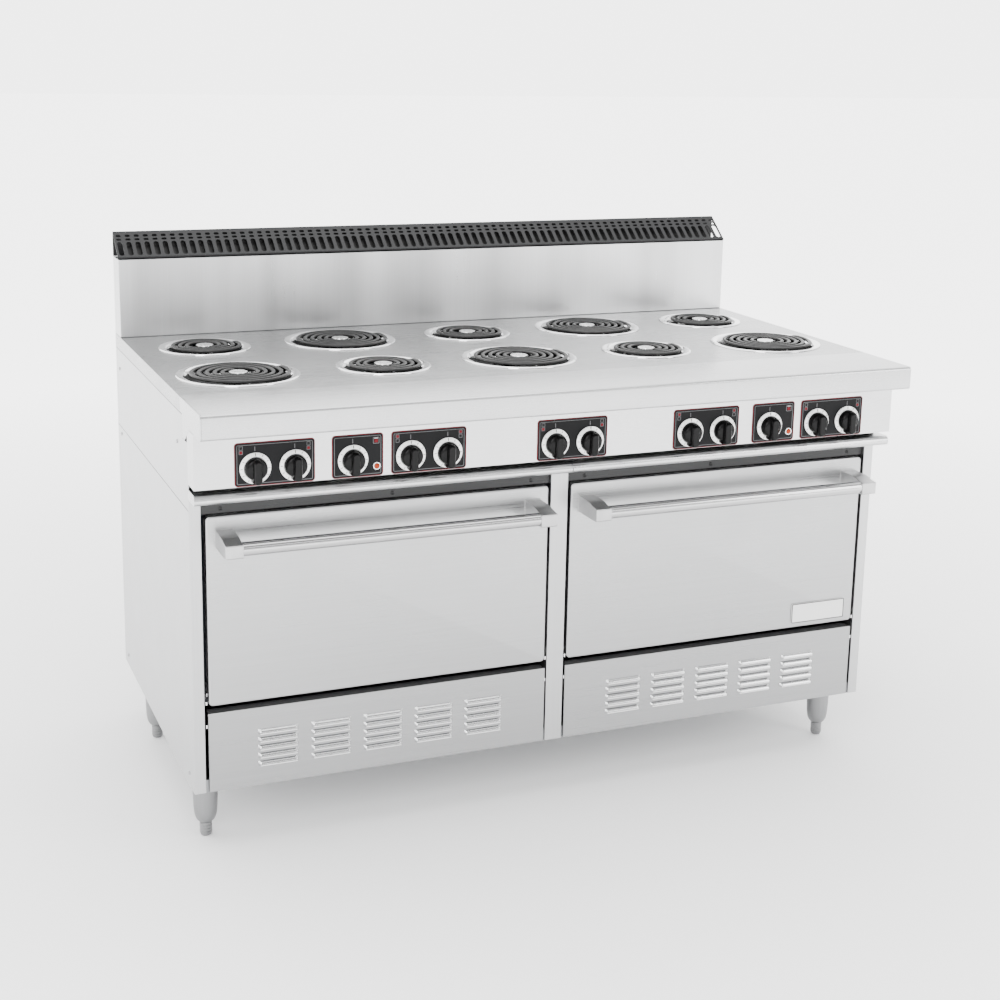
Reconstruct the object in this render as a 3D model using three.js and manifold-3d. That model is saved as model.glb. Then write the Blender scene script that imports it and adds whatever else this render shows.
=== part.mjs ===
// Sixty inch two-oven electric restaurant range with ten coil elements.
// Units are millimetres, +X to the right, +Y to the back, +Z up.
// The origin is on the floor, below the middle of the bounding box.
import * as THREE from "three";
import { mergeVertices } from "three/addons/utils/BufferGeometryUtils.js";
import Module from "manifold-3d";

const wasm = await Module();
wasm.setup();

// ---------- driving dimensions ----------
const WIDTH = 1524; // 60 in overall width
const DEPTH = 876; // 34.5 in overall depth
const TOP_Z = 914; // worktop height, 36 in
const GUARD_H = 229; // backguard and vent above the worktop, 9 in
const LEG_H = 133; // clear height under the cabinet
const NOSE_OUT = 116; // nosing front ahead of the cabinet posts
const NOSE_H = 48; // nosing height
const FASCIA_OUT = 54; // control panel ahead of the posts
const FASCIA_Z0 = 759; // control panel's lower edge
const FLANGE_H = 30; // worktop side flange
const SHEET = 3; // folded sheet thickness used for every panel
const GAP = 0.5; // clearance left between neighbouring sheets

const SIDE_POST = 23; // visible width of a side post
const MID_POST = 38; // visible width of the centre post
const DOOR_Z0 = 312;
const DOOR_Z1 = 692;
const DOOR_OUT = 3; // door face ahead of the posts
const DOOR_T = 18; // depth of the outer door pan
const HINGE_Y = 20; // door hinge line, behind the post face
const HINGE_Z = 324;
const KICK_Z1 = 294;
const RAIL_Z0 = 728;
const RAIL_Z1 = 748;

const OVEN_W = 660; // 26 in oven interior
const OVEN_Z0 = 330;
const OVEN_Z1 = 673; // 13.5 in high
const OVEN_BACK = 600;
const RACK_Z = 500;

const PITCH = 304.8; // element and control pitch, 12 in
const ROW_BACK = 530; // rear element row, behind the post face
const ROW_FRONT = 225;
const BIG = { coil: 106, ring: 124, turns: 4.5, hole: 114 };
const SMALL = { coil: 80, ring: 99, turns: 3.0, hole: 89 };

const KNOB_R = 30;
const KNOB_Z = 794;

const HW = WIDTH / 2;
const F = NOSE_OUT - DEPTH / 2; // Y of the post face
const REAR = DEPTH / 2;
const DOOR_X0 = MID_POST / 2 + 6;
const DOOR_X1 = HW - SIDE_POST - 8;
const DOOR_XC = (DOOR_X0 + DOOR_X1) / 2;

// ---------- helpers ----------
function solid(geometry) {
  const g = geometry.index ? geometry.toNonIndexed() : geometry.clone();
  g.deleteAttribute("normal");
  g.deleteAttribute("uv");
  const m = mergeVertices(g, 1e-4);
  const p = m.attributes.position.array;
  const idx = m.index.array;
  const tri = [];
  for (let i = 0; i < idx.length; i += 3) {
    const [a, b, c] = [idx[i], idx[i + 1], idx[i + 2]];
    if (a !== b && b !== c && a !== c) tri.push(a, b, c);
  }
  const make = (t) =>
    new wasm.Manifold(
      new wasm.Mesh({
        numProp: 3,
        vertProperties: new Float32Array(p),
        triVerts: new Uint32Array(t),
      }),
    );
  const s = make(tri);
  if (s.volume() >= 0) return s;
  for (let i = 0; i < tri.length; i += 3) [tri[i + 1], tri[i + 2]] = [tri[i + 2], tri[i + 1]];
  return make(tri);
}
function join(...list) {
  let s = list[0];
  for (const o of list.slice(1)) s = s.add(o);
  return s;
}
function cut(s, ...list) {
  for (const o of list) s = s.subtract(o);
  return s;
}
function box(x0, x1, y0, y1, z0, z1) {
  const g = new THREE.BoxGeometry(x1 - x0, y1 - y0, z1 - z0);
  g.translate((x0 + x1) / 2, (y0 + y1) / 2, (z0 + z1) / 2);
  return solid(g);
}
function shapeOf(points) {
  const s = new THREE.Shape();
  points.forEach(([a, b], i) => (i ? s.lineTo(a, b) : s.moveTo(a, b)));
  s.closePath();
  return s;
}
// outline in (y, z), run along X
function prismX(points, x0, x1) {
  const g = new THREE.ExtrudeGeometry(shapeOf(points), { depth: x1 - x0, bevelEnabled: false, steps: 1 });
  g.applyMatrix4(new THREE.Matrix4().makeBasis(new THREE.Vector3(0, 1, 0), new THREE.Vector3(0, 0, 1), new THREE.Vector3(1, 0, 0)));
  g.translate(x0, 0, 0);
  return solid(g);
}
// outline in (x, y), run along Z
function prismZ(points, z0, z1) {
  const g = new THREE.ExtrudeGeometry(shapeOf(points), { depth: z1 - z0, bevelEnabled: false, steps: 1 });
  g.translate(0, 0, z0);
  return solid(g);
}
// profile of [radius, height], turned about Z
function turned(profile, segments, x, y, z) {
  const pts = profile.map(([r, h]) => new THREE.Vector2(r, h));
  const g = new THREE.LatheGeometry(pts, segments);
  g.rotateX(Math.PI / 2);
  g.translate(x, y, z);
  return solid(g);
}
// the same, turned about the Y axis with height running forward, to -Y
function turnedForward(profile, segments, x, y, z) {
  const pts = profile.map(([r, h]) => new THREE.Vector2(r, -h));
  const g = new THREE.LatheGeometry(pts, segments);
  g.translate(x, y, z);
  return solid(g);
}
const rodX = (r, x0, x1, y, z, n) => {
  const g = new THREE.CylinderGeometry(r, r, x1 - x0, n);
  g.rotateZ(Math.PI / 2);
  g.translate((x0 + x1) / 2, y, z);
  return solid(g);
};
const rodY = (r, x, y0, y1, z, n) => {
  const g = new THREE.CylinderGeometry(r, r, y1 - y0, n);
  g.translate(x, (y0 + y1) / 2, z);
  return solid(g);
};

const group = new THREE.Group();
function node(name, s, look) {
  const m = s.getMesh();
  const g = new THREE.BufferGeometry();
  g.setAttribute("position", new THREE.BufferAttribute(new Float32Array(m.vertProperties), 3));
  g.setIndex(new THREE.BufferAttribute(new Uint32Array(m.triVerts), 1));
  const flat = g.toNonIndexed();
  flat.computeVertexNormals();
  const mesh = new THREE.Mesh(
    flat,
    new THREE.MeshStandardMaterial({ color: look[0], roughness: look[1], metalness: look[2] }),
  );
  mesh.name = name;
  group.add(mesh);
}
const STAINLESS = [0xc9cbcc, 0.34, 1];
const CHROME = [0xe4e6e8, 0.1, 1];
const CAST = [0xb6b8ba, 0.4, 1];
const CHARCOAL = [0x2b2c2e, 0.55, 0.2];
const ENAMEL = [0x1c1e22, 0.25, 0];
const GALV = [0xa4a8aa, 0.5, 1];
const COIL = [0x3a3b3d, 0.5, 0.5];
const BLACK = [0x101012, 0.3, 0];

// ---------- cabinet ----------
const capNotchY = 40; // the nosing end cap reaches this far behind the posts
const capZ = 838;
for (const s of [-1, 1]) {
  const name = s < 0 ? "side_panel_left" : "side_panel_right";
  const x = (a, b) => (s < 0 ? [-b, -a] : [a, b]);
  const [o0, o1] = x(HW - SHEET, HW);
  const sheet = prismX(
    [
      [F, LEG_H],
      [REAR, LEG_H],
      [REAR, TOP_Z - FLANGE_H - 1.5],
      [F + capNotchY + GAP, TOP_Z - FLANGE_H - 1.5],
      [F + capNotchY + GAP, capZ - GAP],
      [F, capZ - GAP],
    ],
    o0,
    o1,
  );
  const [p0, p1] = x(HW - SIDE_POST, HW);
  const post = box(p0, p1, F, F + SHEET, LEG_H, RAIL_Z0 - GAP);
  const [q0, q1] = x(HW - SIDE_POST, HW - SIDE_POST + SHEET);
  const ret = box(q0, q1, F, F + 34, LEG_H, RAIL_Z0 - GAP);
  node(name, join(sheet, post, ret), STAINLESS);
}
node("back_panel", box(-HW + SHEET + GAP, HW - SHEET - GAP, REAR - SHEET, REAR, LEG_H + 1, TOP_Z - FLANGE_H - 1.5), GALV);

const base = cut(
  box(-HW + SHEET + GAP, HW - SHEET - GAP, F + 3.5, REAR - SHEET - GAP, LEG_H, LEG_H + 26),
  box(-HW + 6.5, HW - 6.5, F + 7, REAR - 7, LEG_H + SHEET, LEG_H + 40),
);
const postRet = [
  box(-HW + SHEET, -HW + SIDE_POST + GAP, F, F + 35, LEG_H - 1, LEG_H + 60),
  box(HW - SIDE_POST - GAP, HW - SHEET, F, F + 35, LEG_H - 1, LEG_H + 60),
  box(-MID_POST / 2 - GAP, MID_POST / 2 + GAP, F, F + 37.5, LEG_H - 1, LEG_H + 60),
];
node("base_pan", cut(base, ...postRet), GALV);

// centre post with the recessed cross rail above the doors
const post = cut(
  box(-MID_POST / 2, MID_POST / 2, F, F + 37, LEG_H, RAIL_Z0 - GAP),
  box(-MID_POST / 2 + SHEET, MID_POST / 2 - SHEET, F + SHEET, F + 40, LEG_H - 1, RAIL_Z0 - 25),
);
const cross = box(-HW + SIDE_POST + GAP, HW - SIDE_POST - GAP, F + 10, F + 13, DOOR_Z1 + 2, RAIL_Z0 - GAP);
node("front_frame", join(post, cross), STAINLESS);

// rounded rail between the control panel and the doors
const railOutline = [[F - 0, RAIL_Z0], [F - 36, RAIL_Z0]];
const rr = (RAIL_Z1 - RAIL_Z0) / 2;
for (let i = 0; i <= 6; i++) {
  const a = -Math.PI / 2 - (Math.PI * i) / 6;
  railOutline.push([F - FASCIA_OUT + rr + rr * Math.cos(a), RAIL_Z0 + rr + rr * Math.sin(a)]);
}
railOutline.push([F, RAIL_Z1]);
node("front_rail", prismX(railOutline, -HW, HW), STAINLESS);

// control panel, a channel open at the back
const knobXs = [];
const fasciaBox = cut(
  box(-HW, HW, F - FASCIA_OUT, F - GAP, FASCIA_Z0, TOP_Z - NOSE_H - GAP),
  box(-HW + SHEET, HW - SHEET, F - FASCIA_OUT + SHEET, F + 5, FASCIA_Z0 + SHEET, TOP_Z - NOSE_H - GAP - SHEET),
);
const PAIRS = [-2 * PITCH, -PITCH, 0, PITCH, 2 * PITCH];
for (const c of PAIRS) knobXs.push(c - 38, c + 38);
knobXs.push(-PITCH - 144 - 10, 2 * PITCH - 144 - 10);
knobXs.sort((a, b) => a - b);
let fascia = fasciaBox;
for (const x of knobXs) fascia = fascia.subtract(rodY(5.5, x, F - 70, F - 40, KNOB_Z, 8));
// the nosing end caps come down over the panel's ends
const capOutline = (g) => [
  [F - NOSE_OUT - g, TOP_Z + g],
  [F - NOSE_OUT - g, TOP_Z - NOSE_H - g],
  [F - 20 - g, TOP_Z - NOSE_H - g],
  [F + 20 - g, capZ - g],
  [F + capNotchY + g, capZ - g],
  [F + capNotchY + g, TOP_Z + g],
];
fascia = cut(fascia, prismX(capOutline(GAP), -HW - 1, -HW + SHEET + GAP), prismX(capOutline(GAP), HW - SHEET - GAP, HW + 1));
node("control_panel", fascia, STAINLESS);

// switch and thermostat bodies on their mounting rail, behind the panel
let bank = box(-HW + 30, HW - 30, F - 14, F - 11, KNOB_Z - 22, KNOB_Z + 22);
for (const x of knobXs) bank = bank.add(box(x - 17, x + 17, F - 38, F - 12, KNOB_Z - 19, KNOB_Z + 19));
node("switch_bank", bank, ENAMEL);

// ---------- worktop ----------
const elements = [];
PAIRS.forEach((x, i) => {
  elements.push({ name: "rear_" + (i + 1), x, y: F + ROW_BACK, k: i % 2 ? BIG : SMALL });
  elements.push({ name: "front_" + (i + 1), x, y: F + ROW_FRONT, k: i % 2 ? SMALL : BIG });
});
const SEAM = 60; // ledge to deck seam, behind the posts
let deck = cut(
  box(-HW, HW, F + SEAM, REAR, TOP_Z - FLANGE_H, TOP_Z),
  box(-HW + SHEET, HW - SHEET, F + SEAM - 5, REAR - SHEET, TOP_Z - FLANGE_H - 5, TOP_Z - SHEET),
);
for (const e of elements) {
  const g = new THREE.CylinderGeometry(e.k.hole, e.k.hole, 40, 16);
  g.rotateX(Math.PI / 2);
  g.translate(e.x, e.y, TOP_Z);
  deck = deck.subtract(solid(g));
}
node("worktop", deck, STAINLESS);

const ledge = join(
  box(-HW, HW, F - NOSE_OUT, F + SEAM - 0.4, TOP_Z - SHEET, TOP_Z),
  box(-HW, HW, F - NOSE_OUT, F - NOSE_OUT + SHEET, TOP_Z - NOSE_H, TOP_Z),
  box(-HW, HW, F - NOSE_OUT, F - FASCIA_OUT - GAP, TOP_Z - NOSE_H, TOP_Z - NOSE_H + SHEET),
  prismX(capOutline(0), -HW, -HW + SHEET),
  prismX(capOutline(0), HW - SHEET, HW),
  box(-HW, -HW + SHEET, F + capNotchY - 1, F + SEAM - 0.4, TOP_Z - FLANGE_H, TOP_Z),
  box(HW - SHEET, HW, F + capNotchY - 1, F + SEAM - 0.4, TOP_Z - FLANGE_H, TOP_Z),
);
node("front_ledge", ledge, STAINLESS);

// ---------- backguard and vent ----------
const GUARD_Y = REAR - 66;
const GUARD_Z = TOP_Z + 174;
node(
  "backguard",
  cut(
    box(-HW, HW, GUARD_Y, REAR, TOP_Z + 0.4, GUARD_Z),
    box(-HW + SHEET, HW - SHEET, GUARD_Y + SHEET, REAR - SHEET, TOP_Z - 5, GUARD_Z + 5),
  ),
  STAINLESS,
);
const vz0 = GUARD_Z + 0.4;
const vz1 = TOP_Z + GUARD_H;
let vent = prismX(
  [
    [GUARD_Y, vz0],
    [GUARD_Y + 12, vz0],
    [GUARD_Y + 12, vz0 + 2],
    [GUARD_Y + 5.4, vz0 + 2],
    [REAR - 2, vz1 - 4.4],
    [REAR - 2, vz0],
    [REAR, vz0],
    [REAR, vz1],
    [REAR - 3, vz1],
    [GUARD_Y, vz0 + 4],
  ],
  -HW,
  HW,
);
const SLOTS = 76;
for (let i = 0; i < SLOTS; i++) {
  const x = -HW + ((i + 0.5) * WIDTH) / SLOTS;
  vent = vent.subtract(
    prismX(
      [
        [GUARD_Y + 7, vz0 + 3],
        [REAR - 7, vz1 - 14],
        [REAR - 12, vz1 + 4],
        [GUARD_Y - 4, vz0 + 11],
      ],
      x - 5.7,
      x + 5.7,
    ),
  );
}
node("vent_grille", vent, CHARCOAL);

// ---------- lower panels ----------
for (const s of [-1, 1]) {
  const name = s < 0 ? "kick_panel_left" : "kick_panel_right";
  const a = MID_POST / 2 + 4;
  const b = HW - SIDE_POST - 6;
  const x0 = s < 0 ? -b : a;
  const x1 = s < 0 ? -a : b;
  let kick = box(x0, x1, F - 1, F + 1.5, LEG_H + 1, KICK_Z1);
  for (let gi = -2; gi <= 2; gi++)
    for (let li = 0; li < 5; li++) {
      const xc = s * DOOR_XC + gi * 108.4;
      const zc = 180 + li * 16.6;
      kick = kick.add(
        prismX(
          [
            [F - 0.5, zc + 6],
            [F - 4.5, zc - 4],
            [F - 4, zc - 5.5],
            [F - 0.5, zc - 5.5],
          ],
          xc - 40.5,
          xc + 40.5,
        ),
      );
    }
  node(name, kick, STAINLESS);
}

// ---------- legs ----------
for (const [name, x, y] of [
  ["leg_front_left", -HW + 40, F + 92],
  ["leg_front_right", HW - 40, F + 92],
  ["leg_rear_left", -HW + 40, F + 597],
  ["leg_rear_right", HW - 40, F + 597],
])
  node(
    name,
    turned(
      [
        [0, 0],
        [9, 0],
        [12.5, 6],
        [12.5, 31],
        [22, 40],
        [24.5, 60],
        [25.5, LEG_H - 0.4],
        [0, LEG_H - 0.4],
      ],
      16,
      x,
      y,
      0,
    ),
    CAST,
  );

// ---------- ovens, doors, racks ----------
for (const s of [-1, 1]) {
  const side = s < 0 ? "left" : "right";
  const X = (a, b) => (s < 0 ? [-b, -a] : [a, b]);
  const bx = (a, b, y0, y1, z0, z1) => box(...X(a, b), y0, y1, z0, z1);
  const c0 = DOOR_XC - OVEN_W / 2;
  const c1 = DOOR_XC + OVEN_W / 2;
  // cavity with its front flange and rack guides
  let cav = bx(c0 - SHEET, c1 + SHEET, F + 38, F + OVEN_BACK + SHEET, OVEN_Z0 - SHEET, OVEN_Z1 + SHEET);
  cav = cav.add(bx(MID_POST / 2 + 1, HW - SIDE_POST + 4, F + 38, F + 40.5, 300, 702));
  cav = cav.subtract(bx(c0, c1, F + 30, F + OVEN_BACK, OVEN_Z0, OVEN_Z1));
  for (const z of [RACK_Z - 6, RACK_Z - 96, RACK_Z + 84]) {
    cav = cav.add(bx(c0 - 1, c0 + 11, F + 60, F + 580, z - 3, z));
    cav = cav.add(bx(c1 - 11, c1 + 1, F + 60, F + 580, z - 3, z));
  }
  node("oven_cavity_" + side, cav, ENAMEL);

  // wire rack: frame bars and cross wires welded into one piece
  const rx0 = c0 + 3;
  const rx1 = c1 - 3;
  let rack = join(
    bx(rx0, rx1, F + 60, F + 66, RACK_Z - 5, RACK_Z + 1),
    bx(rx0, rx1, F + 586, F + 592, RACK_Z - 5, RACK_Z + 1),
    bx(rx0, rx0 + 6, F + 60, F + 592, RACK_Z - 5, RACK_Z + 1),
    bx(rx1 - 6, rx1, F + 60, F + 592, RACK_Z - 5, RACK_Z + 1),
  );
  for (let i = 1; i < 12; i++) {
    const x = rx0 + (i * (rx1 - rx0)) / 12;
    rack = rack.add(bx(x - 2, x + 2, F + 62, F + 590, RACK_Z - 1.5, RACK_Z + 2.5));
  }
  node("oven_rack_" + side, rack, CHROME);

  // door: outer pan, inner pan, towel-bar handle
  const skin = cut(
    bx(DOOR_X0, DOOR_X1, F - DOOR_OUT, F - DOOR_OUT + DOOR_T, DOOR_Z0, DOOR_Z1),
    bx(DOOR_X0 + 2.5, DOOR_X1 - 2.5, F - DOOR_OUT + 2.5, F + 20, DOOR_Z0 + 2.5, DOOR_Z1 - 2.5),
  );
  node("door_skin_" + side, skin, STAINLESS);
  const inner = cut(
    bx(DOOR_X0 + 6, DOOR_X1 - 6, F - DOOR_OUT + DOOR_T + 0.4, F + 33, DOOR_Z0 + 6, DOOR_Z1 - 6),
    bx(DOOR_X0 + 8.5, DOOR_X1 - 8.5, F - 5, F + 30.5, DOOR_Z0 + 8.5, DOOR_Z1 - 8.5),
  );
  node("door_liner_" + side, inner, ENAMEL);
  const bracket = [
    [F - DOOR_OUT - 0.4, 631],
    [F - DOOR_OUT - 0.4, 664],
    [F - 60, 663],
    [F - 80, 661],
    [F - 88, 657],
    [F - 88, 633],
    [F - 84, 631],
  ];
  const b0 = DOOR_XC - 335;
  const b1 = DOOR_XC + 335;
  node(
    "door_handle_" + side,
    join(
      rodX(13.5, ...X(b0 + 5, b1 - 5), F - 73.5, 645.5, 14),
      prismX(bracket, ...X(b0, b0 + 34)),
      prismX(bracket, ...X(b1 - 34, b1)),
    ),
    CAST,
  );
}

// ---------- heating elements ----------
const COIL_Z = TOP_Z + 1.4; // underside of the coil
const COIL_T = 7;
for (const e of elements) {
  const { coil, ring, turns, hole } = e.k;
  // drip bowl with its bright rim, notched at the back for the terminals
  let bowl = turned(
    [
      [ring, 0.4],
      [ring - 1, 1.3],
      [hole - 5, 1.3],
      [hole - 18, -26],
      [20, -28],
      [20, -29.2],
      [hole - 17, -27.2],
      [hole - 3.5, 0.4],
      [ring, 0.4],
    ],
    14,
    e.x,
    e.y,
    TOP_Z,
  );
  bowl = bowl.subtract(box(e.x - 20, e.x + 20, e.y + 45, e.y + hole + 20, TOP_Z - 40, TOP_Z - 9));
  node("drip_bowl_" + e.name, bowl, CHROME);

  // flat spiral, its support bar, centre disc and the terminal block
  const w = 7.6;
  const r1 = coil - w / 2;
  const r0 = 31;
  const n = Math.round(turns * 10);
  const outer = [];
  const inner = [];
  for (let i = 0; i <= n; i++) {
    const t = i / n;
    const a = Math.PI / 2 - (1 - t) * turns * 2 * Math.PI;
    const r = r0 + (r1 - r0) * t;
    outer.push([e.x + (r + w / 2) * Math.cos(a), e.y + (r + w / 2) * Math.sin(a)]);
    inner.push([e.x + (r - w / 2) * Math.cos(a), e.y + (r - w / 2) * Math.sin(a)]);
  }
  const z0 = COIL_Z + 0.6;
  let c = prismZ(outer.concat(inner.reverse()), z0, z0 + COIL_T);
  c = c.add(box(e.x - 1.5, e.x + 1.5, e.y - coil + 3, e.y - 10, z0 - 5, z0 + 1));
  const hub = new THREE.CylinderGeometry(18, 18, 6, 10);
  hub.rotateX(Math.PI / 2);
  hub.translate(e.x, e.y, z0 + 1);
  c = c.add(solid(hub));
  // terminals drop from the spiral's tail and run back below the deck
  c = c.add(box(e.x - 13, e.x + 13, e.y + coil - 32, e.y + coil - 24, TOP_Z - 27, z0 + 1));
  c = c.add(box(e.x - 13, e.x + 13, e.y + coil - 32, e.y + coil + 24, TOP_Z - 27, TOP_Z - 19));
  c = c.add(box(e.x - 4, e.x + 4, e.y + coil - 40, e.y + coil - 1, z0, z0 + 4));
  node("coil_element_" + e.name, c, COIL);
}

// ---------- knobs ----------
knobXs.forEach((x, i) => {
  const y = F - FASCIA_OUT - 1.6;
  const body = turnedForward(
    [
      [0, 0],
      [KNOB_R, 0],
      [KNOB_R, 2.6],
      [22, 4],
      [20, 17],
      [0, 19],
    ],
    12,
    x,
    y,
    KNOB_Z,
  );
  const grip = prismX(
    [
      [y - 3, KNOB_Z + 20],
      [y - 27, KNOB_Z + 17],
      [y - 27, KNOB_Z - 22],
      [y - 3, KNOB_Z - 27],
    ],
    x - 6.5,
    x + 6.5,
  );
  const shaft = rodY(3, x, y - 1, F - 38.5, KNOB_Z, 6);
  node("knob_" + String(i + 1).padStart(2, "0"), join(body, grip, shaft), BLACK);
});

export default group;
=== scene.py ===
import bpy, bmesh, math
from mathutils import Vector, Matrix


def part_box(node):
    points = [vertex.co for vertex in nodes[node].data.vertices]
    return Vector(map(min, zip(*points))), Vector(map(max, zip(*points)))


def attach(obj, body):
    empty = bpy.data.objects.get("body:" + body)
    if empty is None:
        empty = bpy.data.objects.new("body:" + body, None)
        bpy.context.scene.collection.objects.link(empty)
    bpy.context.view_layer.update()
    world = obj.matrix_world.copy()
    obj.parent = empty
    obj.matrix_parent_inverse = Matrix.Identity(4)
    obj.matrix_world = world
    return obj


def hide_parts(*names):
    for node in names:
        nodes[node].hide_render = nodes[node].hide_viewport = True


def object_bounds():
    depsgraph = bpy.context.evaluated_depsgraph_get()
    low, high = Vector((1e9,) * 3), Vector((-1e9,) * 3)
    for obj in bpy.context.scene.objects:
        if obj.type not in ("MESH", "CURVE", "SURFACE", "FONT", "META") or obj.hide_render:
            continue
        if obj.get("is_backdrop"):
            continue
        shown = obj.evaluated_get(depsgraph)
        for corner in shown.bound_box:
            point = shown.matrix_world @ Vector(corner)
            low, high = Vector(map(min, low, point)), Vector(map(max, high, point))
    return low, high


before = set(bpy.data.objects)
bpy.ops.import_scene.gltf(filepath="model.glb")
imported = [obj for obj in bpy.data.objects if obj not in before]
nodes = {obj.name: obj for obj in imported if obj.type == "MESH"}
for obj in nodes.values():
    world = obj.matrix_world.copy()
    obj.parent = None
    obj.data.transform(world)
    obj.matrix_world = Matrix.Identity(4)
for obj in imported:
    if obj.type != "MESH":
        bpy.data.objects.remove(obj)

cad_lo, cad_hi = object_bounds()
C = bpy.context
D = bpy.data

# ------------------------------------------------------------------ materials
def new_mat(name):
    m = D.materials.new(name)
    m.use_nodes = True
    nt = m.node_tree
    b = nt.nodes["Principled BSDF"]
    return m, nt, b

def tex_coord(nt, scale=(1, 1, 1), loc=(0, 0, 0)):
    tc = nt.nodes.new("ShaderNodeTexCoord")
    mp = nt.nodes.new("ShaderNodeMapping")
    mp.inputs["Scale"].default_value = scale
    mp.inputs["Location"].default_value = loc
    nt.links.new(tc.outputs["Object"], mp.inputs["Vector"])
    return mp.outputs["Vector"]

def noise(nt, vec, scale, detail=4, rough=0.55, dist=0.0):
    n = nt.nodes.new("ShaderNodeTexNoise")
    n.inputs["Scale"].default_value = scale
    n.inputs["Detail"].default_value = detail
    n.inputs["Roughness"].default_value = rough
    n.inputs["Distortion"].default_value = dist
    nt.links.new(vec, n.inputs["Vector"])
    return n.outputs["Fac"]

def ramp(nt, fac, stops):
    r = nt.nodes.new("ShaderNodeValToRGB")
    el = r.color_ramp.elements
    while len(el) < len(stops):
        el.new(0.5)
    for e, (p, c) in zip(el, stops):
        e.position = p
        e.color = (*c, 1) if len(c) == 3 else c
    nt.links.new(fac, r.inputs["Fac"])
    return r.outputs["Color"]

def maprange(nt, fac, a, b, c, d):
    m = nt.nodes.new("ShaderNodeMapRange")
    m.inputs["From Min"].default_value = a
    m.inputs["From Max"].default_value = b
    m.inputs["To Min"].default_value = c
    m.inputs["To Max"].default_value = d
    nt.links.new(fac, m.inputs["Value"])
    return m.outputs["Result"]

def math_node(nt, op, a, b):
    m = nt.nodes.new("ShaderNodeMath")
    m.operation = op
    for i, v in enumerate((a, b)):
        if isinstance(v, (int, float)):
            m.inputs[i].default_value = v
        else:
            nt.links.new(v, m.inputs[i])
    return m.outputs[0]

def mix_color(nt, fac, a, b, kind="MIX"):
    m = nt.nodes.new("ShaderNodeMix")
    m.data_type = "RGBA"
    m.blend_type = kind
    for s, v in (("Factor", fac), ("A", a), ("B", b)):
        sock = [i for i in m.inputs if i.name == s and i.enabled][0]
        if isinstance(v, (int, float)):
            sock.default_value = v
        elif isinstance(v, tuple):
            sock.default_value = (*v, 1) if len(v) == 3 else v
        else:
            nt.links.new(v, sock)
    return [o for o in m.outputs if o.enabled][0]

def bump(nt, b, height, strength, distance=0.001):
    n = nt.nodes.new("ShaderNodeBump")
    n.inputs["Strength"].default_value = strength
    n.inputs["Distance"].default_value = distance
    nt.links.new(height, n.inputs["Height"])
    nt.links.new(n.outputs["Normal"], b.inputs["Normal"])

def brushed(name, grain, base=(0.60, 0.605, 0.61), rough=(0.24, 0.36), strength=0.05, smudge=0.5, streaky=0.3):
    """Stainless sheet: grain is the axis the brushing runs along."""
    m, nt, b = new_mat(name)
    b.inputs["Metallic"].default_value = 1.0
    b.inputs["Specular IOR Level"].default_value = 0.5
    sc = {"X": (3, 900, 900), "Y": (900, 3, 900), "Z": (900, 900, 3)}[grain]
    fine = noise(nt, tex_coord(nt, sc), 1.0, 3, 0.6)
    sc2 = {"X": (0.8, 160, 160), "Y": (160, 0.8, 160), "Z": (160, 160, 0.8)}[grain]
    streak = noise(nt, tex_coord(nt, sc2, (3, 7, 1)), 1.0, 4, 0.6)
    cloud = noise(nt, tex_coord(nt, (1, 1, 1), (2.2, 0.4, 5.1)), 3.2, 3, 0.5, 0.6)
    wear = noise(nt, tex_coord(nt, (1, 1, 1), (7.7, 1.4, 2.1)), 14.0, 6, 0.65, 0.3)
    g = math_node(nt, "ADD", math_node(nt, "MULTIPLY", fine, 1 - streaky), math_node(nt, "MULTIPLY", streak, streaky))
    lo = tuple(c * 0.93 for c in base)
    hi = tuple(min(1, c * 1.05) for c in base)
    col = ramp(nt, g, [(0.3, lo), (0.7, hi)])
    cl = ramp(nt, cloud, [(0.25, (0.95, 0.95, 0.955)), (0.75, (1, 1, 1))])
    col = mix_color(nt, smudge, col, cl, "MULTIPLY")
    nt.links.new(col, b.inputs["Base Color"])
    r1 = maprange(nt, g, 0.3, 0.7, rough[0], rough[1])
    r2 = maprange(nt, wear, 0.35, 0.75, -0.01, 0.035)
    r3 = maprange(nt, cloud, 0.3, 0.7, -0.02, 0.03)
    nt.links.new(math_node(nt, "ADD", r1, math_node(nt, "ADD", r2, r3)), b.inputs["Roughness"])
    bump(nt, b, fine, strength, 0.0004)
    return m

M = {}
M["steel_x"] = brushed("stainless_grain_x", "X", (0.40, 0.403, 0.406))
# control fascia: the same stainless with a lighter base tone, painted light for its bright reflection
M["steel_fascia_painted_light"] = brushed("stainless_fascia_painted_light", "X", (0.60, 0.602, 0.604))
# lower kick panels: the same stainless with a darker base tone, painted shade
M["steel_kick"] = brushed("stainless_lower_painted_shade", "X", (0.345, 0.347, 0.350))
# recess behind the front rail: stainless painted near black, painted shade
M["steel_dark"] = brushed("stainless_recess_painted_shade", "X", (0.034, 0.0342, 0.0345), (0.24, 0.36))
M["steel_top"] = brushed("stainless_worktop", "X", (0.375, 0.378, 0.381), (0.22, 0.32), 0.05, 0.8)
M["steel_z"] = brushed("stainless_grain_z", "Z", (0.47, 0.473, 0.477), (0.31, 0.39))
M["steel_side"] = brushed("stainless_side", "Z", (0.50, 0.503, 0.507), (0.28, 0.38))
# front nosing: the same stainless with a lighter base tone than the worktop it folds from, painted light
M["steel_nose"] = brushed("stainless_nosing_painted_light", "X", (0.50, 0.503, 0.506), (0.20, 0.30))
# louvre hoods and the walls under their lips: the kick steel with a much lighter base tone, painted highlight that
# also lifts the shade under the lips
M["steel_louvre"] = brushed("stainless_louvre_painted_highlight", "X", (0.60, 0.603, 0.606), (0.15, 0.22))
M["steel_rail"] = brushed("stainless_rail", "X", (0.56, 0.563, 0.566), (0.20, 0.30))

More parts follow.
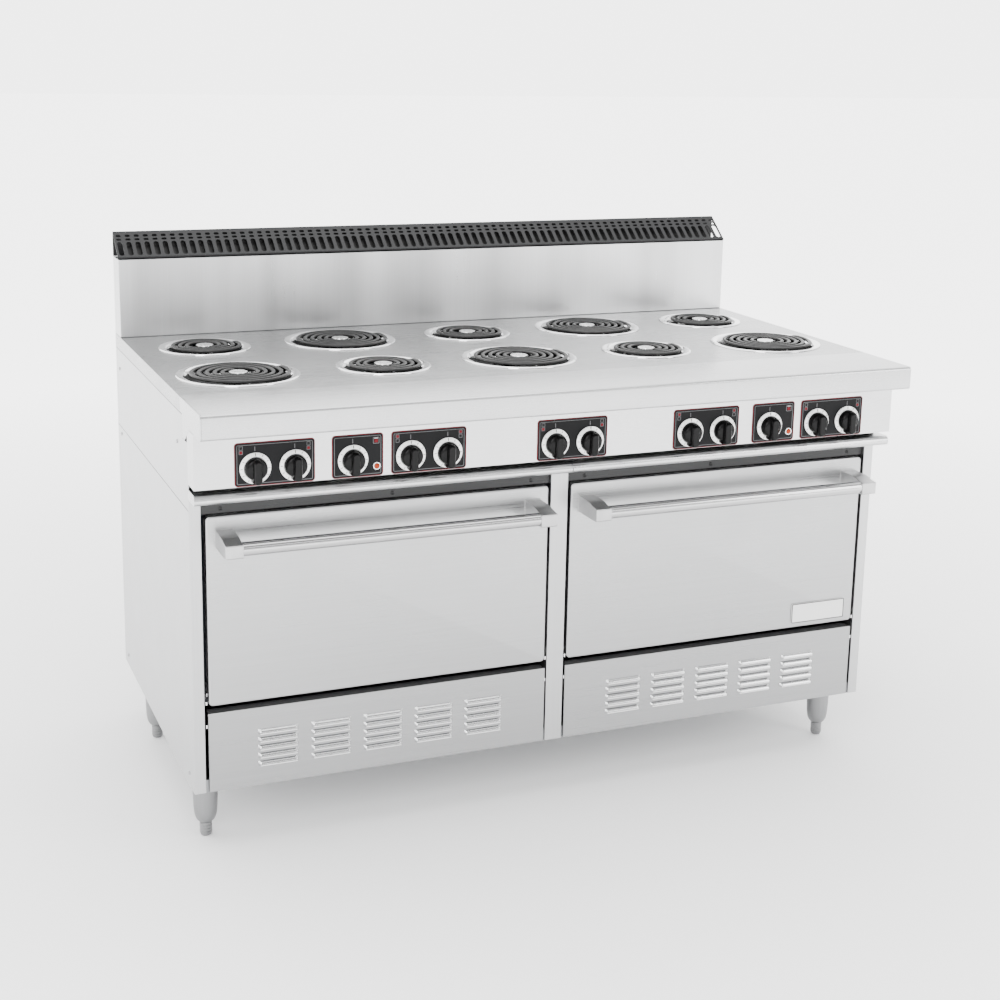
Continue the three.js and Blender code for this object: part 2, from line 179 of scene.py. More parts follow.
def banded_with_painted_reflections(name, base, rough, bands, amount):
    """Upright sheet with soft cross bands multiplied into its colour: painted reflection bands."""
    m = brushed(name, "Z", base, rough)
    nt = m.node_tree
    b = [n for n in nt.nodes if n.type == "BSDF_PRINCIPLED"][0]
    src = b.inputs["Base Color"].links[0].from_socket
    # painted reflection bands: soft stripes across the sheet that darken its colour
    band = noise(nt, tex_coord(nt, (bands, 0.4, 0.5), (1.7, 0.2, 0.9)), 1.0, 2, 0.45)
    col = ramp(nt, band, [(0.30, (1 - amount,) * 3), (0.50, (1.0 - amount * 0.35,) * 3), (0.68, (1.0, 1.0, 1.0))])
    nt.links.new(mix_color(nt, 1.0, src, col, "MULTIPLY"), b.inputs["Base Color"])
    return m
# backguard: light stainless with painted reflection bands across it
M["steel_guard"] = banded_with_painted_reflections("stainless_backguard", (0.66, 0.664, 0.668), (0.27, 0.36), 7.0, 0.34)
M["bar"] = brushed("handle_tube", "X", (0.47, 0.47, 0.472), (0.12, 0.20), 0.04, 0.3)
M["galv"] = brushed("galvanised_sheet", "Z", (0.29, 0.297, 0.304), (0.40, 0.58), 0.06, 1.0)

def metal(name, base, r0, r1, scale=60, bstr=0.03, metallic=1.0):
    m, nt, b = new_mat(name)
    b.inputs["Metallic"].default_value = metallic
    v = tex_coord(nt)
    n1 = noise(nt, v, scale, 5, 0.6)
    n2 = noise(nt, v, scale * 0.12, 3, 0.5, 0.4)
    lo = tuple(c * 0.88 for c in base)
    nt.links.new(ramp(nt, n2, [(0.3, lo), (0.7, base)]), b.inputs["Base Color"])
    nt.links.new(maprange(nt, n1, 0.3, 0.7, r0, r1), b.inputs["Roughness"])
    bump(nt, b, n1, bstr, 0.0005)
    return m

M["cast"] = metal("satin_casting", (0.48, 0.48, 0.482), 0.32, 0.44, 240, 0.05)
M["chrome"] = metal("bright_trim", (0.95, 0.95, 0.955), 0.06, 0.12, 30, 0.01)
M["bowl"] = metal("drip_bowl_inner", (0.006, 0.006, 0.0062), 0.4, 0.6, 80, 0.06, 0.9)
M["disc"] = metal("centre_disc", (0.78, 0.78, 0.78), 0.22, 0.34, 120, 0.04)
M["leg"] = brushed("leg_metal", "Z", (0.27, 0.272, 0.275), (0.26, 0.38), 0.05, 0.9, 0.6)
M["screw"] = metal("screw_zinc", (0.45, 0.45, 0.46), 0.28, 0.4, 300, 0.03)

def coil_mat():
    m, nt, b = new_mat("coil_sheath")
    b.inputs["Metallic"].default_value = 0.35
    b.inputs["Specular IOR Level"].default_value = 0.28
    v = tex_coord(nt)
    n1 = noise(nt, v, 45, 6, 0.6, 0.4)
    n2 = noise(nt, v, 520, 4, 0.6)
    n3 = noise(nt, v, 9, 3, 0.5)
    mixed = math_node(nt, "ADD", math_node(nt, "MULTIPLY", n1, 0.6), math_node(nt, "MULTIPLY", n3, 0.4))
    nt.links.new(ramp(nt, mixed, [(0.3, (0.009, 0.009, 0.0095)), (0.52, (0.019, 0.019, 0.019)), (0.72, (0.040, 0.039, 0.038))]), b.inputs["Base Color"])
    nt.links.new(maprange(nt, n1, 0.3, 0.7, 0.30, 0.50), b.inputs["Roughness"])
    bump(nt, b, n2, 0.12, 0.0004)
    return m
M["coil"] = coil_mat()

def paint(name, base, r0, r1, scale=300, bstr=0.06, coat=0.0, var=0.75, spec=0.5):
    m, nt, b = new_mat(name)
    b.inputs["Specular IOR Level"].default_value = spec
    v = tex_coord(nt)
    n1 = noise(nt, v, scale, 4, 0.6)
    n2 = noise(nt, v, 7, 3, 0.5)
    lo = tuple(c * var for c in base)
    nt.links.new(ramp(nt, n2, [(0.3, lo), (0.7, base)]), b.inputs["Base Color"])
    nt.links.new(maprange(nt, n1, 0.3, 0.7, r0, r1), b.inputs["Roughness"])
    b.inputs["Coat Weight"].default_value = coat
    b.inputs["Coat Roughness"].default_value = 0.08
    bump(nt, b, n1, bstr, 0.0004)
    return m

M["vent"] = paint("vent_paint", (0.013, 0.0132, 0.014), 0.36, 0.50, 420, 0.10, spec=0.22)
M["knob"] = paint("knob_phenolic", (0.003, 0.003, 0.0031), 0.14, 0.24, 500, 0.03, spec=0.12)
M["plate"] = paint("plate_film", (0.0065, 0.0066, 0.0072), 0.32, 0.44, 260, 0.02, spec=0.09)
M["red"] = paint("ink_red", (0.145, 0.008, 0.014), 0.4, 0.5, 200, 0.01, spec=0.10)
M["grey"] = paint("ink_grey", (0.15, 0.15, 0.155), 0.4, 0.5, 200, 0.01, spec=0.15)
M["white"] = paint("ink_white", (0.80, 0.80, 0.79), 0.3, 0.42, 200, 0.01, 0, 0.92)
# dark rim for the badge plate: painted shadow round its edge
M["badge_line"] = paint("badge_line", (0.030, 0.030, 0.032), 0.4, 0.5, 200, 0.01, spec=0.2)
# black ink for print; the same black also serves as painted shade behind the vent slots and in the side flange gaps
M["black"] = paint("black_ink_and_painted_shade", (0.005, 0.005, 0.005), 0.4, 0.5, 200, 0.01, spec=0.15)
M["gasket"] = paint("gasket_weave", (0.06, 0.06, 0.062), 0.75, 0.9, 900, 0.5)
M["shelf"] = paint("inner_flange", (0.070, 0.070, 0.071), 0.45, 0.60, 200, 0.02, spec=0.3)
M["rubber"] = paint("foot_pad", (0.03, 0.03, 0.03), 0.6, 0.75, 400, 0.1)
M["switch"] = paint("switch_body", (0.05, 0.05, 0.055), 0.4, 0.55, 300, 0.05)

def enamel():
    m, nt, b = new_mat("porcelain_enamel")
    v = tex_coord(nt)
    vo = nt.nodes.new("ShaderNodeTexVoronoi")
    vo.inputs["Scale"].default_value = 260
    nt.links.new(v, vo.inputs["Vector"])
    n2 = noise(nt, v, 6, 3, 0.5)
    base = ramp(nt, n2, [(0.3, (0.016, 0.018, 0.024)), (0.7, (0.028, 0.031, 0.040))])
    sp = ramp(nt, vo.outputs["Distance"], [(0.0, (1, 1, 1)), (0.10, (0, 0, 0))])
    nt.links.new(mix_color(nt, sp, base, (0.42, 0.43, 0.46)), b.inputs["Base Color"])
    nt.links.new(maprange(nt, noise(nt, v, 40, 4), 0.3, 0.7, 0.14, 0.28), b.inputs["Roughness"])
    b.inputs["Coat Weight"].default_value = 0.4
    bump(nt, b, noise(nt, v, 90, 3), 0.05, 0.0005)
    return m
M["enamel"] = enamel()

def lamp():
    m, nt, b = new_mat("pilot_lens")
    v = tex_coord(nt)
    n = noise(nt, v, 300, 3)
    nt.links.new(ramp(nt, n, [(0.3, (0.20, 0.022, 0.005)), (0.7, (0.30, 0.036, 0.008))]), b.inputs["Base Color"])
    nt.links.new(maprange(nt, n, 0.3, 0.7, 0.12, 0.22), b.inputs["Roughness"])
    b.inputs["Emission Color"].default_value = (1.0, 0.16, 0.01, 1)
    b.inputs["Emission Strength"].default_value = 0.01
    b.inputs["Specular IOR Level"].default_value = 0.15
    return m
M["lamp"] = lamp()

def skirt_mat():
    """Bright dial ring: radial spin brushing."""
    m, nt, b = new_mat("dial_ring")
    b.inputs["Metallic"].default_value = 0.35
    v = tex_coord(nt)
    n1 = noise(nt, v, 700, 3, 0.6)
    n2 = noise(nt, v, 30, 3, 0.5)
    nt.links.new(ramp(nt, n2, [(0.3, (0.80, 0.80, 0.79)), (0.7, (0.90, 0.90, 0.89))]), b.inputs["Base Color"])
    nt.links.new(maprange(nt, n1, 0.3, 0.7, 0.22, 0.34), b.inputs["Roughness"])
    bump(nt, b, n1, 0.04, 0.0003)
    return m
M["skirt"] = skirt_mat()

# ------------------------------------------------------------------ mesh helpers
def obj_from(name, bm, mats, body, bevel=0.0, segs=2, smooth=35, sub=0):
    me = D.meshes.new(name)
    bmesh.ops.recalc_face_normals(bm, faces=bm.faces)
    bm.to_mesh(me)
    bm.free()
    o = D.objects.new(name, me)
    C.scene.collection.objects.link(o)
    for m in (mats if isinstance(mats, (list, tuple)) else [mats]):
        me.materials.append(M[m])
    for p in me.polygons:
        p.use_smooth = True
    if bevel:
        bv = o.modifiers.new("bevel", "BEVEL")
        bv.width = bevel
        bv.segments = segs
        bv.limit_method = "ANGLE"
        bv.angle_limit = math.radians(32)
        bv.harden_normals = False
    if sub:
        ss = o.modifiers.new("sub", "SUBSURF")
        ss.levels = ss.render_levels = sub
    set_smooth(me, smooth)
    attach(o, body)
    return o

def set_smooth(me, angle):
    """Marks edges sharper than the angle as sharp, so the rest shades smooth."""
    bm = bmesh.new()
    bm.from_mesh(me)
    lim = math.radians(angle)
    for e in bm.edges:
        e.smooth = len(e.link_faces) == 2 and e.calc_face_angle(0) < lim
    for f in bm.faces:
        f.smooth = True
    bm.to_mesh(me)
    bm.free()

def add_box(bm, x0, x1, y0, y1, z0, z1, mat=0):
    v = [bm.verts.new((x, y, z)) for x in (x0, x1) for y in (y0, y1) for z in (z0, z1)]
    fs = []
    for a in ((0, 1, 3, 2), (4, 6, 7, 5), (0, 4, 5, 1), (2, 3, 7, 6), (0, 2, 6, 4), (1, 5, 7, 3)):
        f = bm.faces.new([v[i] for i in a])
        f.material_index = mat
        fs.append(f)
    return fs

def add_prism_x(bm, pts, x0, x1, mat=0):
    """pts: closed outline in (y, z)."""
    a = [bm.verts.new((x0, y, z)) for y, z in pts]
    b = [bm.verts.new((x1, y, z)) for y, z in pts]
    n = len(pts)
    fs = [bm.faces.new(a), bm.faces.new(b[::-1])]
    for i in range(n):
        fs.append(bm.faces.new([a[i], b[i], b[(i + 1) % n], a[(i + 1) % n]]))
    for f in fs:
        f.material_index = mat

def add_lathe(bm, profile, centre, segs=64, axis="Z", mats=None, mat=0):
    """profile of (radius, height), closed on itself or starting and ending on the axis."""
    cx, cy, cz = centre
    rings = []
    for r, h in profile:
        if r < 1e-7:
            p = (cx, cy, cz + h) if axis == "Z" else (cx, cy - h, cz)
            rings.append([bm.verts.new(p)])
            continue
        ring = []
        for i in range(segs):
            a = 2 * math.pi * i / segs
            if axis == "Z":
                ring.append(bm.verts.new((cx + r * math.cos(a), cy + r * math.sin(a), cz + h)))
            else:
                ring.append(bm.verts.new((cx + r * math.cos(a), cy - h, cz + r * math.sin(a))))
        rings.append(ring)
    closed = len(rings[0]) > 1 and len(rings[-1]) > 1
    pairs = list(zip(range(len(rings) - 1), range(1, len(rings))))
    if closed:
        pairs.append((len(rings) - 1, 0))
    for k, (i, j) in enumerate(pairs):
        A, B = rings[i], rings[j]
        m = mats[k] if mats else mat
        for s in range(segs):
            t = (s + 1) % segs
            if len(A) == 1 and len(B) == 1:
                continue
            if len(A) == 1:
                f = bm.faces.new([A[0], B[t], B[s]])
            elif len(B) == 1:
                f = bm.faces.new([A[s], A[t], B[0]])
            else:
                f = bm.faces.new([A[s], A[t], B[t], B[s]])
            f.material_index = m

def add_tube(bm, pts, r, sides=12, mat=0, closed=False, flat=1.0):
    """A tube along points; flat squashes it in Z."""
    n = len(pts)
    P = [Vector(p) for p in pts]
    rings = []
    up = Vector((0, 0, 1))
    for i, p in enumerate(P):
        if closed:
            t = (P[(i + 1) % n] - P[i - 1]).normalized()
        else:
            t = (P[min(i + 1, n - 1)] - P[max(i - 1, 0)]).normalized()
        u = up if abs(t.z) < 0.95 else Vector((0, 1, 0))
        s = t.cross(u).normalized()
        w = s.cross(t).normalized()
        rings.append([bm.verts.new(p + s * (r * math.cos(2 * math.pi * k / sides)) + w * (r * flat * math.sin(2 * math.pi * k / sides))) for k in range(sides)])
    rng = range(n) if closed else range(n - 1)
    for i in rng:
        A, B = rings[i], rings[(i + 1) % n]
        for k in range(sides):
            f = bm.faces.new([A[k], A[(k + 1) % sides], B[(k + 1) % sides], B[k]])
            f.material_index = mat
    if not closed:
        bm.faces.new(rings[0][::-1]).material_index = mat
        bm.faces.new(rings[-1]).material_index = mat

def rounded_rect(w, h, r, n=6):
    pts = []
    for cx, cy, a0 in ((w / 2 - r, h / 2 - r, 0), (-w / 2 + r, h / 2 - r, 90), (-w / 2 + r, -h / 2 + r, 180), (w / 2 - r, -h / 2 + r, 270)):
        for i in range(n + 1):
            a = math.radians(a0 + 90 * i / n)
            pts.append((cx + r * math.cos(a), cy + r * math.sin(a)))
    return pts

def add_plate_y(bm, cx, cz, w, h, r, y_back, y_front, mat=0, n=6):
    """Rounded rectangle in the XZ plane, from y_back to y_front."""
    pts = rounded_rect(w, h, r, n)
    a = [bm.verts.new((cx + x, y_back, cz + z)) for x, z in pts]
    b = [bm.verts.new((cx + x, y_front, cz + z)) for x, z in pts]
    k = len(pts)
    fs = [bm.faces.new(a), bm.faces.new(b[::-1])]
    for i in range(k):
        fs.append(bm.faces.new([a[i], b[i], b[(i + 1) % k], a[(i + 1) % k]]))
    for f in fs:
        f.material_index = mat

def add_frame_y(bm, cx, cz, w, h, r, t, y_back, y_front, mat=0, n=6):
    """Rounded rectangular ring of line width t."""
    o = rounded_rect(w, h, r, n)
    i_ = rounded_rect(w - 2 * t, h - 2 * t, max(r - t, 0.0002), n)
    rings = []
    for pts, y in ((o, y_back), (o, y_front), (i_, y_front), (i_, y_back)):
        rings.append([bm.verts.new((cx + x, y, cz + z)) for x, z in pts])
    k = len(o)
    for a in range(4):
        A, B = rings[a], rings[(a + 1) % 4]
        for s in range(k):
            f = bm.faces.new([A[s], A[(s + 1) % k], B[(s + 1) % k], B[s]])
            f.material_index = mat

# ------------------------------------------------------------------ dimensions, from the frame
MM = 0.001
HW = cad_hi.x
REAR = cad_hi.y
F = -0.322                      # post face
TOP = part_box("worktop")[1].z
PITCH = 0.3048
DXC = 0.378
DOOR_OUT = 0.003

# ------------------------------------------------------------------ CAD nodes kept, with finer edges
def keep(node, mat, bevel=0.0012, segs=2):
    o = nodes[node]
    me = o.data
    if len(me.materials):
        me.materials[0] = M[mat]
        for i in range(1, len(me.materials)):
            me.materials[i] = M[mat]
    else:
        me.materials.append(M[mat])
    for s in o.material_slots:
        s.material = M[mat]
    if bevel:
        w = o.modifiers.new("weld", "WELD")
        w.merge_threshold = 0.00002
        d = o.modifiers.new("planar", "DECIMATE")
        d.decimate_type = "DISSOLVE"
        d.angle_limit = math.radians(2)
        b = o.modifiers.new("bevel", "BEVEL")
        b.width = bevel
        b.segments = segs
        b.limit_method = "ANGLE"
        b.angle_limit = math.radians(40)
        b.use_clamp_overlap = True
        b.harden_normals = False

keep("side_panel_left", "steel_side", 0.0012)
keep("side_panel_right", "steel_side", 0.0012)
keep("back_panel", "galv", 0.0008)
keep("base_pan", "galv", 0)
keep("front_frame", "steel_z", 0.001)
# the fascia takes the lighter painted-light stainless
keep("control_panel", "steel_fascia_painted_light", 0)
keep("switch_bank", "switch", 0)
keep("worktop", "steel_top", 0)
keep("backguard", "steel_guard", 0.0014, 3)
for s in ("left", "right"):
    keep("oven_cavity_" + s, "enamel", 0)
    keep("door_liner_" + s, "enamel", 0.0014, 2)

# ------------------------------------------------------------------ front rail, two lengths of folded bar
def front_rail():
    pts = []
    y0, z0, z1 = F, 0.728, 0.748
    r = 0.0085
    yf = F - 0.054
    pts.append((y0, z0))
    for i in range(13):
        a = -math.pi / 2 - math.pi / 2 * i / 12
        pts.append((yf + r + r * math.cos(a), z0 + r + r * math.sin(a)))
    r2 = z1 - z0 - r
    for i in range(1, 13):
        a = math.pi - math.pi / 2 * i / 12
        pts.append((yf + r2 + r2 * math.cos(a), z1 - r2 + r2 * math.sin(a)))
    pts.append((y0, z1))
    for k, (a, b) in enumerate(((-HW, 0.0040), (0.0052, HW))):
        bm = bmesh.new()
        add_prism_x(bm, pts, a, b)
        o = obj_from("front_rail_" + ("left", "right")[k], bm, "steel_rail", "cabinet", 0.0006, 2, 30)
        if k == 0:
            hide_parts("front_rail")
front_rail()

# ------------------------------------------------------------------ front ledge: folded sheet with rounded nosing and end caps
def ledge():
    t, yf, zb = 0.003, F - 0.116, TOP - 0.048
    def arc(cy, cz, rad, a0, a1, k=8):
        return [(cy + rad * math.cos(math.radians(a0 + (a1 - a0) * i / k)), cz + rad * math.sin(math.radians(a0 + (a1 - a0) * i / k))) for i in range(k + 1)]
    R, R2 = 0.0065, 0.0045
    outer = [(F + 0.0596, TOP)] + arc(yf + R, TOP - R, R, 90, 180) + arc(yf + R2, zb + R2, R2, 180, 270) + [(yf + 0.030, zb)]
    inner = [(yf + 0.030, zb + t)] + arc(yf + R2, zb + R2, R2 - t, 270, 180) + arc(yf + R, TOP - R, R - t, 180, 90) + [(F + 0.0596, TOP - t)]
    bm = bmesh.new()
    add_prism_x(bm, outer + inner, -HW + 0.0030, HW - 0.0030)
    bm.normal_update()
    # upward faces take the worktop tone, the rest of the folded sheet the lighter painted-light nosing tone
    for f in bm.faces:
        f.material_index = 1 if f.normal.z > 0.97 else 0
    o = obj_from("ledge_sheet", bm, ["steel_nose", "steel_top"], "cabinet", 0, 2, 38)
    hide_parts("front_ledge")
    cap = [(F + 0.0400, TOP - 0.0004), (F + 0.0596, TOP - 0.0004), (F + 0.0596, TOP - 0.0296), (F + 0.0400, TOP - 0.0296)]
    out = [(F + 0.0596, TOP)] + arc(yf + R, TOP - R, R, 90, 180) + arc(yf + R2, zb + R2, R2, 180, 270) + [(F - 0.020, zb), (F + 0.020, 0.838), (F + 0.040, 0.838), (F + 0.040, TOP - 0.030), (F + 0.0596, TOP - 0.030)]
    for sg, side in ((-1, "left"), (1, "right")):
        bm = bmesh.new()
        xa, xb = sorted((sg * HW, sg * (HW - 0.0030)))
        add_prism_x(bm, out, xa, xb)
        obj_from("ledge_cap_" + side, bm, "steel_nose", "cabinet", 0.0007, 2, 30)
ledge()

# ------------------------------------------------------------------ vent grille
def vent():
    """Slanted sheet with its slots cut out of the grid, a vertical back sheet and a bottom lip."""
    bm = bmesh.new()
    lo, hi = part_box("vent_grille")
    y0, y1, z0, z1 = lo.y, hi.y, lo.z, hi.z
    t = 0.0018
    A = Vector((0, y0 + 0.0003, z0 + 0.004)); B = Vector((0, y1 - 0.0022, z1 - 0.0008))
    slope = (B - A)
    L = slope.length
    s = slope.normalized()
    nrm = Vector((0, -s.z, s.y))
    n = 76
    m0 = 0.0004
    pitch = (2 * HW - 2 * m0) / n
    sw = 0.0116
    # down the slope: two short holes above one long slot
    spans = [(0.0065, L * 0.60), (L * 0.655, L * 0.735), (L * 0.79, L * 0.885)]
    def pt(x, u, d):
        p = A + s * u - nrm * d
        return (x, p.y, p.z)
    # grid bars: build strips and bars with rounded ends approximated by corner fillets
    def quad(x0, x1, u0, u1):
        v = [bm.verts.new(pt(x, u, d)) for d in (0, t) for x, u in ((x0, u0), (x1, u0), (x1, u1), (x0, u1))]
        for f in ((3, 2, 1, 0), (4, 5, 6, 7), (0, 1, 5, 4), (1, 2, 6, 5), (2, 3, 7, 6), (3, 0, 4, 7)):
            bm.faces.new([v[i] for i in f])
    edges = [0.0] + [e for sp in spans for e in sp] + [L]
    quad(-HW, HW, edges[0], edges[1])
    quad(-HW, HW, edges[-2], edges[-1])
    def fillet(xc, u, sign, side, r):
        """Corner filler that rounds a slot's end."""
        k = 5
        c = (xc + side * (sw / 2 - r), u + sign * r)
        corner = (xc + side * sw / 2, u)
        arc = []
        for i in range(k + 1):
            a = math.pi / 2 * i / k
            arc.append((c[0] + side * r * math.cos(a), c[1] - sign * r * math.sin(a)))
        loop = [corner] + arc
        top = [bm.verts.new(pt(x, q, 0.00002)) for x, q in loop]
        bot = [bm.verts.new(pt(x, q, t)) for x, q in loop]
        bm.faces.new(top); bm.faces.new(bot[::-1])
        for i in range(len(loop)):
            j = (i + 1) % len(loop)
            bm.faces.new([top[i], bot[i], bot[j], top[j]])
    for i in range(n):
        xc = -HW + m0 + (i + 0.5) * pitch
        xl = -HW if i == 0 else xc - pitch + sw / 2
        quad(xl, xc - sw / 2, edges[1], edges[-2])
        for lo_, hi_ in ((edges[2], edges[3]), (edges[4], edges[5])):
            quad(xc - sw / 2, xc + sw / 2, lo_, hi_)
        for u0, u1 in spans:
            rf = min(sw / 2, (u1 - u0) / 2) - 0.0001
            for side in (-1, 1):
                fillet(xc, u0, 1, side, rf)
                fillet(xc, u1, -1, side, rf)
    quad(HW - m0 - pitch / 2 + sw / 2, HW, edges[1], edges[-2])
    # back sheet, bottom lip and the fold along the front
    def flat(y0_, y1_, z0_, z1_):
        add_box(bm, -HW, HW, y0_, y1_, z0_, z1_)
    flat(y1 - 0.002, y1, z0, z1)
    flat(y0, y0 + 0.012, z0, z0 + 0.002)
    flat(y0, y0 + 0.002, z0, z0 + 0.0052)
    o = obj_from("vent_grille_fine", bm, "vent", "cabinet", 0, 2, 30)
    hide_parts("vent_grille")
    # near-black sheet a finger's width behind the slots: painted shade seen through them
    bm = bmesh.new()
    v = [bm.verts.new(pt(x, u, d)) for d in (0.0100, 0.0108) for x, u in ((-HW + 0.026, 0.0110), (HW - 0.026, 0.0110), (HW - 0.026, L - 0.0120), (-HW + 0.026, L - 0.0120))]
    for f in ((3, 2, 1, 0), (4, 5, 6, 7), (0, 1, 5, 4), (1, 2, 6, 5), (2, 3, 7, 6), (3, 0, 4, 7)):
        bm.faces.new([v[i] for i in f])
    obj_from("vent_painted_shade_sheet", bm, "black", "cabinet", 0, 2, 30)
vent()

# ------------------------------------------------------------------ kick panels with pressed louvres
def louvre(bm, xc, zc, y):
    """A pressed hood: closed at the top and ends, open along its lower edge."""
    hw, h, d = 0.0405, 0.0092, 0.0066
    nx, nz = 26, 7
    grid = []
    for j in range(nz + 1):
        v = j / nz                       # 0 at the top edge, 1 at the lip
        row = []
        for i in range(nx + 1):
            u = -1 + 2 * i / nx
            end = max(0.0, 1 - max(0.0, (abs(u) - 0.90) / 0.10) ** 2) ** 0.5 if abs(u) < 1 else 0.0
            hgt = d * math.sin(v * math.pi / 2) ** 0.8 * end
            row.append(bm.verts.new((xc + u * hw, y - hgt - 0.00005, zc + h / 2 - v * h)))
        grid.append(row)
    for j in range(nz):
        for i in range(nx):
            bm.faces.new([grid[j][i], grid[j][i + 1], grid[j + 1][i + 1], grid[j + 1][i]]).material_index = 0
    # lip thickness, turned back to the panel
    lip = grid[-1]
    back = [bm.verts.new((v.co.x, min(y - 0.0002, v.co.y + 0.0012), v.co.z + 0.0003)) for v in lip]
    wall = [bm.verts.new((v.co.x, y - 0.0001, v.co.z + 0.0035)) for v in lip]
    for i in range(nx):
        bm.faces.new([lip[i], lip[i + 1], back[i + 1], back[i]]).material_index = 0
        bm.faces.new([back[i], back[i + 1], wall[i + 1], wall[i]]).material_index = 1

for s, side in ((-1, "left"), (1, "right")):
    lo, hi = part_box("kick_panel_" + side)
    bm = bmesh.new()
    yf = F - 0.001
    # folded panel: face and returns
    add_box(bm, lo.x, hi.x, yf, yf + 0.0014, lo.z, hi.z + 0.0024)
    add_box(bm, lo.x, lo.x + 0.0014, yf, yf + 0.0024, lo.z, hi.z)
    # the kick sheet takes the darker painted-shade stainless
    o = obj_from("kick_panel_%s_sheet" % side, bm, "steel_kick", "cabinet", 0.0006, 2, 30)
    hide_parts("kick_panel_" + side)
    # shelf behind the top edge, under the door
    bm = bmesh.new()
    add_box(bm, lo.x + 0.002, hi.x - 0.002, yf + 0.0016, F + 0.0260, hi.z + 0.0002, hi.z + 0.0012)
    obj_from("kick_shelf_" + side, bm, "shelf", "cabinet", 0, 2, 30)
    bm = bmesh.new()
    for g in range(-2, 3):
        for l in range(5):
            louvre(bm, s * DXC + g * 0.1084, 0.180 + l * 0.0166, yf)
    me = D.meshes.new("kick_louvres_" + side)
    bm.to_mesh(me); bm.free()
    o = D.objects.new("kick_louvres_" + side, me)
    C.scene.collection.objects.link(o)
    # hoods and lip walls both take the lighter painted-highlight steel
    me.materials.append(M["steel_louvre"]); me.materials.append(M["steel_louvre"])
    for p in me.polygons: p.use_smooth = True
    set_smooth(me, 50)
    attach(o, "cabinet")

# ------------------------------------------------------------------ legs
for nm in ("front_left", "front_right", "rear_left", "rear_right"):
    lo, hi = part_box("leg_" + nm)
    cx, cy = (lo.x + hi.x) / 2, (lo.y + hi.y) / 2
    H = hi.z
    prof = [(0, 0), (0.0085, 0), (0.0105, 0.0012), (0.0122, 0.006), (0.0125, 0.0095), (0.0116, 0.0103), (0.0116, 0.0112), (0.0125, 0.0120), (0.0125, 0.0158), (0.0116, 0.0166), (0.0116, 0.0175), (0.0125, 0.0183), (0.0125, 0.0221), (0.0116, 0.0229), (0.0116, 0.0238), (0.0125, 0.0246), (0.0125, 0.0285), (0.0119, 0.0290), (0.0119, 0.0300), (0.0135, 0.0304), (0.0150, 0.0318), (0.0175, 0.0345), (0.0200, 0.0390), (0.0218, 0.0445), (0.0231, 0.0520), (0.0240, 0.0620), (0.0247, 0.0800), (0.0252, 0.1050), (0.0255, H - 0.006), (0.0255, H), (0, H)]
    bm = bmesh.new()
    add_lathe(bm, prof, (cx, cy, 0), 56)
    o = obj_from("leg_%s_turned" % nm, bm, "leg", "cabinet", 0, 2, 40)
    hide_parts("leg_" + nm)

